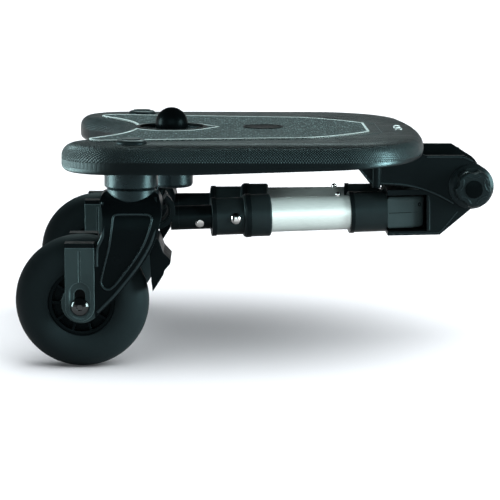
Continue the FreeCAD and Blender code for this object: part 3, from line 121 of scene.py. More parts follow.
class NodeSheet:
    """A material's node tree, with short calls to add nodes and to link them."""

    def __init__(self, name: str) -> None:
        """Start a material with its own Principled shader.

        Args:
            name: The material's name.
        """
        self.material = bpy.data.materials.new(name)
        self.material.use_nodes = True
        self.tree = self.material.node_tree
        self.shader = self.tree.nodes["Principled BSDF"]

    def feed(self, socket: Socket, value: object) -> None:
        """Link a socket, or set its plain value.

        Args:
            socket: The input to fill.
            value: An output socket, a number, or a list of numbers.
        """
        if isinstance(value, Socket):
            self.tree.links.new(value, socket)
        else:
            socket.default_value = value

    def add(self, kind: str, inputs: dict | None = None, **settings: object) -> bpy.types.Node:
        """Add a node.

        Args:
            kind: The node's type.
            inputs: Values or sockets by input name or place.
            **settings: Properties of the node itself.

        Returns:
            The new node.
        """
        node = self.tree.nodes.new(kind)
        for key, value in settings.items():
            setattr(node, key, value)
        for key, value in (inputs or {}).items():
            self.feed(node.inputs[key], value)
        return node

    def spot(self, centre: Point = (0.0, 0.0, 0.0), stretch: Point = (1.0, 1.0, 1.0)) -> Socket:
        """Object coordinates, counted from a centre and stretched along the axes."""
        source = self.add("ShaderNodeTexCoord").outputs["Object"]
        return self.vector("MULTIPLY", self.vector("SUBTRACT", source, centre), stretch)

    def noise(self, where: Socket, size: float, detail: float = 3.0) -> Socket:
        """Soft noise of about 0 to 1, with blobs of a size in metres and finer layers of detail."""
        inputs = {"Vector": where, "Scale": 1.0 / size, "Detail": detail, "Roughness": 0.55}
        return self.add("ShaderNodeTexNoise", inputs).outputs[0]

    def remap(self, value: Socket, low: float, high: float, to_low: float, to_high: float) -> Socket:
        """Move a value from one range to another, clamped and eased at both ends."""
        inputs = {0: value, 1: low, 2: high, 3: to_low, 4: to_high}
        return self.add("ShaderNodeMapRange", inputs, interpolation_type="SMOOTHSTEP").outputs[0]

    def spread(self, noise: Socket, low: float, high: float) -> Socket:
        """Noise's usual range, stretched to run from one value to another."""
        return self.remap(noise, NOISE_LOW, NOISE_HIGH, low, high)

    def uneven(self, roughness: float, noise: Socket) -> Socket:
        """A roughness that varies a little with noise."""
        return self.spread(noise, roughness - SMOOTHER_BY, roughness + ROUGHER_BY)

    def math(self, operation: str, first: object, second: object = 0.0) -> Socket:
        """One step of arithmetic on values."""
        return self.add("ShaderNodeMath", {0: first, 1: second}, operation=operation).outputs[0]

    def times(self, first: object, second: object) -> Socket:
        """The product of two values."""
        return self.math("MULTIPLY", first, second)

    def vector(self, operation: str, first: object, second: object = (0.0, 0.0, 0.0)) -> Socket:
        """One step of arithmetic on vectors."""
        return self.add("ShaderNodeVectorMath", {0: first, 1: second}, operation=operation).outputs[0]

    def mix(self, share: object, first: object, second: object) -> Socket:
        """Mix two colours.

        Args:
            share: The share of the second.
            first: A colour or its socket.
            second: A colour or its socket.

        Returns:
            The mixed colour.
        """
        node = self.add("ShaderNodeMix", data_type="RGBA", clamp_factor=True)
        self.feed(node.inputs[0], share)
        self.feed(node.inputs[6], first if isinstance(first, Socket) else (*first, 1.0))
        self.feed(node.inputs[7], second if isinstance(second, Socket) else (*second, 1.0))
        return node.outputs[2]

    def part(self, vector: Socket, axis: str) -> Socket:
        """One part, X, Y or Z, of a vector."""
        return self.add("ShaderNodeSeparateXYZ", {0: vector}).outputs[axis]

    def radius_about(self, centre: Point) -> Socket:
        """Distance in metres from the axis that runs across the board through a centre."""
        flat = self.spot(centre, (1.0, 0.0, 1.0))
        return self.add("ShaderNodeVectorMath", {0: flat}, operation="LENGTH").outputs["Value"]

    def soft_edges(self, radius: float) -> Socket:
        """A normal that rounds sharp edges by a radius in metres."""
        return self.add("ShaderNodeBevel", {"Radius": radius}, samples=4).outputs[0]

    def edge_share(self, soft: Socket) -> Socket:
        """How near a point is to an edge, from its softened normal.

        Args:
            soft: The softened normal.

        Returns:
            0 on a face and 1 on an edge.
        """
        flat = self.add("ShaderNodeNewGeometry").outputs["Normal"]
        facing = self.add("ShaderNodeVectorMath", {0: flat, 1: soft}, operation="DOT_PRODUCT")
        return self.remap(facing.outputs["Value"], FLAT_FACING, EDGE_FACING, 0.0, 1.0)

    def relief(self, height: Socket, depth: float, under: Socket | None = None) -> Socket:
        """A bumped normal.

        Args:
            height: The relief's height, 0 to 1.
            depth: What a height of 1 is, in metres.
            under: A normal that the relief lies on.

        Returns:
            The normal.
        """
        node = self.add("ShaderNodeBump", {"Height": height, "Distance": depth, "Strength": 1.0})
        if under is not None:
            self.feed(node.inputs["Normal"], under)
        return node.outputs[0]

    def finish(self, colour: Socket, roughness: Socket, normal: Socket, **plain: object) -> Material:
        """Fill the shader.

        Args:
            colour: The colour.
            roughness: The roughness.
            normal: The normal.
            **plain: Even values of other inputs, with _ for a space.

        Returns:
            The material.
        """
        self.feed(self.shader.inputs["Base Color"], colour)
        self.feed(self.shader.inputs["Roughness"], roughness)
        self.feed(self.shader.inputs["Normal"], normal)
        for key, value in plain.items():
            self.shader.inputs[key.replace("_", " ")].default_value = value
        return self.material


def shade(colour: Colour, factor: float) -> Colour:
    """A colour made lighter or darker by a factor."""
    return tuple(min(1.0, part * factor) for part in colour)


@dataclass(frozen=True)
class MouldedPlastic:
    """Moulded plastic with a fine grain, faint clouding and lighter edges: partly wear, partly a painted
    highlight.

    A piece that is a channel along X can have painted shade: a darker colour between its walls.
    """

    colour: Colour
    roughness: float
    sheen: float = 0.35
    grain_size: float = 0.7 * MM
    grain_depth: float = 0.03 * MM
    edge_radius: float = 0.9 * MM
    edge_light: float = 2.4
    channel_half: float = 0.0
    channel_shade: float = 0.3
    cloud_size: float = 40 * MM
    wear_size: float = 6 * MM
    smear_size: float = 15 * MM

    def make(self, name: str) -> Material:
        """Build the material.

        Args:
            name: Its name.

        Returns:
            The material.
        """
        sheet = NodeSheet(name)
        where = sheet.spot()
        soft = sheet.soft_edges(self.edge_radius)
        cloud = sheet.spread(sheet.noise(where, self.cloud_size), 0.0, 1.0)
        body = sheet.mix(cloud, shade(self.colour, 0.86), shade(self.colour, 1.16))
        # Painted shade: the faces between the channel's walls are coloured darker.
        if self.channel_half:
            aside = sheet.math("ABSOLUTE", sheet.part(where, "Y"))
            inside = sheet.math("LESS_THAN", aside, self.channel_half)
            body = sheet.mix(inside, body, shade(self.colour, self.channel_shade))
        # Edges are lightened in patches: partly wear, partly a painted highlight along the edges.
        wear_and_highlight = sheet.times(sheet.edge_share(soft), sheet.noise(where, self.wear_size))
        colour = sheet.mix(wear_and_highlight, body, shade(self.colour, self.edge_light))
        rough = sheet.uneven(self.roughness, sheet.noise(where, self.smear_size))
        normal = sheet.relief(sheet.noise(where, self.grain_size, 1.0), self.grain_depth, soft)
        return sheet.finish(colour, rough, normal, Specular_IOR_Level=self.sheen, Specular_Tint=COOL_SHEEN)


@dataclass(frozen=True)
class DottedPlastic:
    """The deck's plastic: staggered rows of raised dots along its edge, and a smooth glossy band below.

    The dots are painted lighter than the body, as a painted highlight on each dot.
    """

    colour: Colour
    dot_colour: Colour
    roughness: float
    band_roughness: float = 0.33
    sheen: float = 0.17
    centre: Point = (-11.0 * MM, 0.0, 201.0 * MM)
    half: Point = (167.0 * MM, 174.0 * MM, 0.0)
    corner: float = 88.0 * MM
    dot_step: float = 2.4 * MM
    row_step: float = 1.75 * MM
    dot_outside: float = 0.52
    dot_inside: float = 0.26
    dots_start: float = 187.5 * MM
    dots_full: float = 189.5 * MM
    slope_from: float = 52.0 * MM
    slope_drop: float = 28.0 * MM
    edge_radius: float = 0.8 * MM
    dot_height: float = 0.32 * MM
    grain_size: float = 0.8 * MM
    grain_share: float = 0.12
    cloud_size: float = 50 * MM
    scuff_size: float = 18 * MM

    def edge_inset(self, sheet: NodeSheet) -> tuple[Socket, Socket]:
        """Where a point lies along and inside the deck's edge, taken as a rectangle with round corners.

        Args:
            sheet: The material's nodes.

        Returns:
            The distance along the edge and the distance inside it, in metres.
        """
        away = sheet.vector("ABSOLUTE", sheet.spot(self.centre))
        core = tuple(max(0.0, part - self.corner) for part in self.half)
        out = sheet.vector("MAXIMUM", sheet.vector("SUBTRACT", away, core))
        out_x, out_y = sheet.part(out, "X"), sheet.part(out, "Y")
        squares = sheet.math("ADD", sheet.times(out_x, out_x), sheet.times(out_y, out_y))
        reach = sheet.math("POWER", squares, 0.5)
        turn = sheet.times(sheet.math("ARCTAN2", out_x, out_y), self.corner)
        ahead = sheet.math("MINIMUM", sheet.part(away, "X"), core[0])
        aside = sheet.math("MINIMUM", sheet.part(away, "Y"), core[1])
        along = sheet.math("SUBTRACT", sheet.math("ADD", ahead, turn), aside)
        return along, sheet.math("SUBTRACT", self.corner, reach)

    def dots(self, sheet: NodeSheet, along: Socket, across: Socket) -> Socket:
        """Staggered dots on two coordinates.

        Args:
            sheet: The material's nodes.
            along: The coordinate along a row.
            across: The coordinate across the rows.

        Returns:
            1 on a dot and 0 between dots.
        """
        step = sheet.math("DIVIDE", along, self.dot_step)
        row = sheet.math("DIVIDE", across, self.row_step * 2)
        inputs = {0: sheet.math("ADD", step, row), 1: sheet.math("SUBTRACT", step, row)}
        lattice = sheet.add("ShaderNodeCombineXYZ", inputs).outputs[0]
        cells = sheet.add("ShaderNodeTexVoronoi", {"Vector": lattice, "Scale": 1.0, "Randomness": 0.0},
                          voronoi_dimensions="2D", feature="F1")
        return sheet.remap(cells.outputs["Distance"], self.dot_outside, self.dot_inside, 0.0, 1.0)

    def make(self, name: str) -> Material:
        """Build the material.

        Args:
            name: Its name.

        Returns:
            The material.
        """
        sheet = NodeSheet(name)
        where = sheet.spot()
        height = sheet.part(where, "Z")
        along, inset = self.edge_inset(sheet)
        down = sheet.math("SUBTRACT", self.centre[2], height)
        field = sheet.remap(height, self.dots_start, self.dots_full, 0.0, 1.0)
        dots = sheet.times(self.dots(sheet, along, sheet.math("SUBTRACT", inset, down)), field)
        cloud = sheet.spread(sheet.noise(where, self.cloud_size), 0.0, 1.0)
        body = sheet.mix(cloud, shade(self.colour, 0.88), shade(self.colour, 1.14))
        # Painted highlight: the raised dots are coloured lighter than the body.
        colour = sheet.mix(dots, body, self.dot_colour)
        scuffs = sheet.noise(where, self.scuff_size, 5.0)
        even = sheet.remap(field, 0.0, 1.0, self.band_roughness, self.roughness)
        rough = sheet.math("ADD", even, sheet.uneven(0.0, scuffs))
        fall = sheet.math("DIVIDE", sheet.math("SUBTRACT", self.slope_from, inset), self.slope_from)
        fall = sheet.math("MAXIMUM", fall, 0.0)
        drop = sheet.times(sheet.times(fall, fall), -1.0)
        slope = sheet.relief(drop, self.slope_drop, sheet.soft_edges(self.edge_radius))
        grain = sheet.times(sheet.noise(where, self.grain_size, 1.0), self.grain_share)
        normal = sheet.relief(sheet.math("ADD", dots, grain), self.dot_height, slope)
        return sheet.finish(colour, rough, normal, Specular_IOR_Level=self.sheen, Specular_Tint=COOL_SHEEN)


@dataclass(frozen=True)
class GrainyRubber:
    """Non-slip rubber with close, uneven granules, some of them worn pale."""

    dark: Colour
    pale: Colour
    granule: float = 1.5 * MM
    depth: float = 0.35 * MM
    sheen: float = 0.2
    clump_granules: float = 2.4
    trodden_size: float = 70 * MM

    def make(self, name: str) -> Material:
        """Build the material.

        Args:
            name: Its name.

        Returns:
            The material.
        """
        sheet = NodeSheet(name)
        where = sheet.spot()
        inputs = {"Vector": where, "Scale": 1.0 / self.granule}
        cells = sheet.add("ShaderNodeTexVoronoi", inputs, feature="F1")
        grains = sheet.remap(cells.outputs["Distance"], 0.75, 0.15, 0.0, 1.0)
        tone = sheet.part(cells.outputs["Color"], "X")
        speck = sheet.times(grains, sheet.remap(tone, 0.25, 0.95, 0.1, 1.0))
        clump_noise = sheet.noise(where, self.clump_granules * self.granule, 2.0)
        clumps = sheet.remap(clump_noise, 0.36, 0.64, 0.34, 1.0)
        trodden = sheet.remap(sheet.noise(where, self.trodden_size), 0.35, 0.65, 0.8, 1.0)
        share = sheet.times(speck, sheet.times(trodden, clumps))
        colour = sheet.mix(share, self.dark, self.pale)
        rough = sheet.remap(tone, 0.0, 1.0, 0.62, 0.86)
        return sheet.finish(colour, rough, sheet.relief(grains, self.depth), Specular_IOR_Level=self.sheen,
                            Specular_Tint=COOL_SHEEN)


@dataclass(frozen=True)
class TyreRubber:
    """Smooth solid tyre rubber, with faint moulding rings and a dusty tread."""

    colour: Colour
    axle: Point
    tread_radius: float = 60 * MM
    dust_width: float = 7 * MM
    ring_step: float = 1.6 * MM
    bead_radius: float = 33 * MM
    bead_width: float = 3 * MM
    skin_size: float = 0.9 * MM
    skin_depth: float = 0.12 * MM
    cloud_size: float = 22 * MM
    sheen: float = 0.07

    def make(self, name: str) -> Material:
        """Build the material.

        Args:
            name: Its name.

        Returns:
            The material.
        """
        sheet = NodeSheet(name)
        where = sheet.spot()
        reach = sheet.radius_about(self.axle)
        dust = sheet.remap(reach, self.tread_radius - self.dust_width, self.tread_radius, 0.0, 0.35)
        cloud = sheet.noise(where, self.cloud_size, 4.0)
        body = sheet.mix(cloud, shade(self.colour, 0.82), shade(self.colour, 1.18))
        colour = sheet.mix(sheet.times(dust, cloud), body, shade(self.colour, 2.2))
        rings = sheet.math("SINE", sheet.times(reach, 2 * math.pi / self.ring_step))
        near_bead = sheet.remap(reach, self.bead_radius, self.bead_radius + self.bead_width, 1.0, 0.0)
        moulded = sheet.times(sheet.times(rings, near_bead), 0.4)
        skin = sheet.math("ADD", moulded, sheet.times(sheet.noise(where, self.skin_size, 2.0), 0.3))
        rough = sheet.spread(cloud, 0.46, 0.6)
        return sheet.finish(colour, rough, sheet.relief(skin, self.skin_depth), Specular_IOR_Level=self.sheen,
                            Specular_Tint=COOL_SHEEN)


@dataclass(frozen=True)
class SatinMetal:
    """Metal drawn or brushed along one axis."""

    colour: Colour
    roughness: float
    stretch: Point = (0.02, 1.0, 1.0)
    metal: float = 1.0
    edge_radius: float = 0.4 * MM
    line_size: float = 0.5 * MM
    line_depth: float = 0.008 * MM
    smear_size: float = 25 * MM

    def make(self, name: str) -> Material:
        """Build the material.

        Args:
            name: Its name.

        Returns:
            The material.
        """
        sheet = NodeSheet(name)
        lines = sheet.noise(sheet.spot(stretch=self.stretch), self.line_size, 2.0)
        smears = sheet.noise(sheet.spot(), self.smear_size, 4.0)
        colour = sheet.mix(sheet.spread(lines, 0.0, 1.0), shade(self.colour, 0.92), self.colour)
        rough = sheet.uneven(self.roughness, smears)
        normal = sheet.relief(lines, self.line_depth, sheet.soft_edges(self.edge_radius))
        return sheet.finish(colour, rough, normal, Metallic=self.metal)


@dataclass(frozen=True)
class PolishedMetal:
    """Bright plated metal, with a faint haze of handling."""

    colour: Colour
    roughness: float
    haze_size: float = 5 * MM
    edge_radius: float = 0.3 * MM

    def make(self, name: str) -> Material:
        """Build the material.

        Args:
            name: Its name.

        Returns:
            The material.
        """
        sheet = NodeSheet(name)
        haze = sheet.noise(sheet.spot(), self.haze_size, 4.0)
        colour = sheet.mix(haze, shade(self.colour, 0.93), self.colour)
        rough = sheet.remap(haze, 0.35, 0.75, self.roughness, self.roughness + 0.1)
        return sheet.finish(colour, rough, sheet.soft_edges(self.edge_radius), Metallic=1.0)


@dataclass(frozen=True)
class HeadedBolt:
    """A bolt across the wheel whose heads are bright, and whose middle is dark."""

    bright: Colour
    dark: Colour
    middle: float
    bright_from: float
    roughness: float = 0.1
    dark_roughness: float = 0.4
    sheen: float = 0.06
    haze_size: float = 5 * MM
    edge_radius: float = 0.3 * MM

    def make(self, name: str) -> Material:
        """Build the material.

        Args:
            name: Its name.

        Returns:
            The material.
        """
        sheet = NodeSheet(name)
        across = sheet.math("ABSOLUTE", sheet.part(sheet.spot((0.0, self.middle, 0.0)), "Y"))
        share = sheet.math("GREATER_THAN", across, self.bright_from)
        haze = sheet.noise(sheet.spot(), self.haze_size, 4.0)
        bright = sheet.mix(haze, shade(self.bright, 0.85), self.bright)
        colour = sheet.mix(share, self.dark, bright)
        even = sheet.remap(share, 0.0, 1.0, self.dark_roughness, self.roughness)
        rough = sheet.math("ADD", even, sheet.times(haze, 0.08))
        sheet.feed(sheet.shader.inputs["Metallic"], share)
        return sheet.finish(colour, rough, sheet.soft_edges(self.edge_radius), Specular_IOR_Level=self.sheen)


class Finish(Enum):
    """Every shared finish of the board, by its material's name."""

    BLACK_PLASTIC = MouldedPlastic((0.0065, 0.0092, 0.0105), 0.34, 0.1)
    # The fork's strongly lightened edges are mostly a painted highlight.
    FORK_BLACK = MouldedPlastic((0.003, 0.0042, 0.005), 0.32, 0.06, edge_radius=1.3 * MM, edge_light=9.0)
    SLEEVE_BLACK = MouldedPlastic((0.021, 0.0285, 0.031), 0.33, 0.18)
    BLOCK_GREY = MouldedPlastic((0.068, 0.092, 0.098), 0.45, 0.15, 2.2 * MM, 0.12 * MM)
    BEAD_SHEEN = MouldedPlastic((0.011, 0.0152, 0.017), 0.3, 0.45, grain_depth=0.004 * MM, edge_light=1.2)
    # The bracket gets painted shade between its walls.
    BRACKET_BLACK = MouldedPlastic((0.0058, 0.0082, 0.0094), 0.34, 0.08, channel_half=48.5 * MM)
    KNOB_BLACK = MouldedPlastic((0.009, 0.0125, 0.014), 0.3, 0.2)
    CAP_SHEEN = MouldedPlastic((0.008, 0.011, 0.0125), 0.4, 0.25)
    GLOSS_BLACK = MouldedPlastic((0.002, 0.0028, 0.0033), 0.3, 0.05, grain_depth=0.006 * MM)
    DOTTED_DECK = DottedPlastic((0.001, 0.0015, 0.0018), (0.0125, 0.018, 0.0195), 0.38)
    GRANULAR_PAD = GrainyRubber((0.014, 0.0185, 0.0195), (0.33, 0.43, 0.44), 2.4 * MM, 0.5 * MM)
    SOCKET_GREY = MouldedPlastic((0.003, 0.0043, 0.005), 0.24, 0.2, grain_depth=0.005 * MM)
    STRUT_GREY = MouldedPlastic((0.044, 0.063, 0.066), 0.34, 0.25)
    # The struts' strongly lightened edges are mostly a painted highlight.
    STRUT_EDGED = MouldedPlastic((0.036, 0.052, 0.055), 0.34, 0.25, edge_radius=1.5 * MM, edge_light=8.0)
    PALE_LINE = MouldedPlastic((0.74, 0.8, 0.8), 0.45)
    PLAIN_DISC = MouldedPlastic((0.005, 0.007, 0.008), 0.32, 0.02, grain_depth=0.003 * MM)
    SATIN_ALUMINIUM = SatinMetal((0.95, 0.975, 0.97), 0.42, metal=0.3)
    BRIGHT_CHROME = PolishedMetal((0.86, 0.88, 0.88), 0.07)
    ZINC_PLATE = SatinMetal((0.36, 0.38, 0.385), 0.36, (1.0, 1.0, 0.1))
    BUSH_NYLON = MouldedPlastic((0.2, 0.22, 0.22), 0.4)
    JAW_RUBBER = GrainyRubber((0.008, 0.01, 0.011), (0.02, 0.026, 0.028), 0.9 * MM, 0.1 * MM)

    @cached_property
    def material(self) -> Material:
        """The finish's material, built when it is first asked for."""
        return self.value.make(self.name.lower())


def merge(mesh: Mesh) -> Mesh:
    """Merge a bmesh's doubled corners."""
    bmesh.ops.remove_doubles(mesh, verts=mesh.verts[:], dist=MERGE_WITHIN)
    return mesh


def corners(items: Sequence[object]) -> list[bmesh.types.BMVert]:
    """The vertices among a bmesh operator's results."""
    return [item for item in items if isinstance(item, bmesh.types.BMVert)]


def placed(name: str, data: bpy.types.ID) -> bpy.types.Object:
    """Put a new object in the scene.

    Args:
        name: Its name.
        data: Its mesh, curve, lamp or camera.

    Returns:
        The object, at the origin.
    """
    thing = bpy.data.objects.new(name, data)
    bpy.context.scene.collection.objects.link(thing)
    return thing


def moved(mesh: Mesh, matrix: Matrix) -> Mesh:
    """Move a whole bmesh by a matrix."""
    bmesh.ops.transform(mesh, matrix=matrix, verts=mesh.verts[:])
    return mesh


def joined(parts: Sequence[Mesh]) -> Mesh:
    """Put several shapes in one bmesh.

    Args:
        parts: The shapes. They are freed.

    Returns:
        One bmesh with all of them.
    """
    whole = bmesh.new()
    for part in parts:
        data = bpy.data.meshes.new("part")
        part.to_mesh(data)
        part.free()
        whole.from_mesh(data)
        bpy.data.meshes.remove(data)
    return whole


def aimed(point: Sequence[float], direction: Sequence[float]) -> Matrix:
    """The matrix that puts a shape at a point, with its Z axis along a direction."""
    turn = Vector((0.0, 0.0, 1.0)).rotation_difference(Vector(direction).normalized())
    return Matrix.Translation(point) @ turn.to_matrix().to_4x4()


def turned(profile: Sequence[Corner], lathe: Lathe = Lathe.UPRIGHT, steps: int = 64) -> Mesh:
    """Spin a half section about the lathe's axis through the origin.

    Args:
        profile: Radius and height of each corner, in metres.
        lathe: The axis.
        steps: How many faces go round.

    Returns:
        The turned shape.
    """
    mesh = bmesh.new()
    upright = lathe is Lathe.UPRIGHT
    section = [mesh.verts.new((r, 0.0, h) if upright else (r, h, 0.0)) for r, h in profile]
    edges = [mesh.edges.new(pair) for pair in zip(section, section[1:])]
    axis = (0.0, 0.0, 1.0) if upright else (0.0, 1.0, 0.0)
    bmesh.ops.spin(mesh, geom=section + edges, cent=(0.0, 0.0, 0.0), axis=axis, angle=2 * math.pi,
                   steps=steps, use_merge=True, use_duplicate=False)
    return merge(mesh)


@dataclass(frozen=True)
class Ring:
    """A turned ring with chamfered upper edges."""

    inner: float
    outer: float
    low: float
    high: float
    chamfer: float

    def shape(self, lathe: Lathe = Lathe.UPRIGHT, steps: int = 64) -> Mesh:
        """Turn the ring about an axis, with a number of faces round it."""
        shoulder = self.high - self.chamfer
        return turned([(self.inner, self.low), (self.outer, self.low), (self.outer, shoulder),
                       (self.outer - self.chamfer, self.high), (self.inner + self.chamfer, self.high),
                       (self.inner, shoulder), (self.inner, self.low)], lathe, steps)


@dataclass(frozen=True)
class Dome:
    """A turned button head: a short skirt under a rounded top, closed below."""

    radius: float
    rise: float
    skirt: float
    arc_steps: int = 6
    round_steps: int = 32

    def shape(self) -> Mesh:
        """Turn the head about Z.

        Returns:
            The head's mesh.
        """
        turns = [math.pi / 2 * index / self.arc_steps for index in range(self.arc_steps)]
        arc = [(self.radius * math.cos(turn), self.skirt + self.rise * math.sin(turn)) for turn in turns]
        return turned([(0.0, 0.0), (self.radius, 0.0), *arc, (0.0, self.skirt + self.rise)],
                      steps=self.round_steps)


def bead(points: Sequence[Point], radius: float) -> Mesh:
    """A round raised line along a smooth path.

    Args:
        points: The path's control points.
        radius: The line's radius.

    Returns:
        The line's mesh.
    """
    curve = bpy.data.curves.new("bead", "CURVE")
    curve.dimensions = "3D"
    curve.bevel_depth = radius
    curve.bevel_resolution = 2
    curve.use_fill_caps = True
    spline = curve.splines.new("NURBS")
    spline.points.add(len(points) - 1)
    for spot, point in zip(spline.points, points):
        spot.co = (*point, 1.0)
    spline.order_u = 3
    spline.use_endpoint_u = True
    spline.resolution_u = 6
    carrier = placed("bead", curve)
    data = bpy.data.meshes.new_from_object(carrier.evaluated_get(bpy.context.evaluated_depsgraph_get()))
    mesh = bmesh.new()
    mesh.from_mesh(data)
    bpy.data.objects.remove(carrier)
    bpy.data.curves.remove(curve)
    bpy.data.meshes.remove(data)
    return mesh


def side_beads(paths: Sequence[Sequence[Corner]], across: float, radius: float) -> list[Mesh]:
    """Raised lines on both side faces, along paths of X and Z in millimetres."""
    return [bead([(x * MM, way * across, z * MM) for x, z in path], radius)
            for way in BOTH_WAYS for path in paths]


def carrier_place() -> Matrix:
    """The carrier's own frame, with its hinge at zero."""
    return Matrix.Translation(HINGE) @ Matrix.Rotation(math.radians(-CARRIER_TILT), 4, "Y")


@dataclass
class SubAssembly:
    """Nodes that are dressed together, with the trim that goes on them."""

    frame: dict

    def name(self, stem: str) -> str:
        """The full name of a node, piece or body."""
        return stem

    def coat(self, material: Material, stem: str) -> None:
        """Give a CAD node a material.

        Args:
            material: The material.
            stem: The node's name.
        """
        data = self.frame["nodes"][self.name(stem)].data
        data.materials.clear()
        data.materials.append(material)
        LOG.info("node %s: %s", self.name(stem), material.name)

    def dress(self, finish: Finish, *stems: str) -> None:
        """Give CAD nodes a shared finish."""
        for stem in stems:
            self.coat(finish.material, stem)

    def copied(self, stem: str) -> Mesh:
        """A merged copy of a CAD node's mesh.

        Args:
            stem: The node's name.

        Returns:
            The copy.
        """
        mesh = bmesh.new()
        mesh.from_mesh(self.frame["nodes"][self.name(stem)].data)
        return merge(mesh)

    def piece(self, mesh: Mesh, stem: str, finish: Finish, body: str, slot: str,
              smooth_angle: float = 35.0) -> bpy.types.Object:
        """Turn a bmesh into a piece that rides on a body.

        Args:
            mesh: The shape, in place. It is freed here.
            stem: The piece's name.
            finish: Its finish.
            body: The body that carries it.
            slot: The record's material slot that it belongs to. It is not used.
            smooth_angle: Edges sharper than this stay sharp, in degrees.

        Returns:
            The new object, at the origin.
        """
        merge(mesh)
        bmesh.ops.recalc_face_normals(mesh, faces=mesh.faces[:])
        for face in mesh.faces:
            face.smooth = True
        limit = math.radians(smooth_angle)
        for edge in mesh.edges:
            edge.smooth = len(edge.link_faces) == 2 and edge.calc_face_angle(0.0) < limit
        data = bpy.data.meshes.new(self.name(stem))
        mesh.to_mesh(data)
        mesh.free()
        data.materials.append(finish.material)
        thing = placed(self.name(stem), data)
        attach(thing, self.name(body))
        LOG.info("piece %s on %s: %d faces", thing.name, self.name(body), len(data.polygons))
        return thing


@dataclass
class SidePart(SubAssembly):
    """A sub-assembly that the board has on both sides."""

    side: Side

    def name(self, stem: str) -> str:
        """A node's, piece's or body's name with this side's ending."""
        return f"{stem}_{self.side.word}"


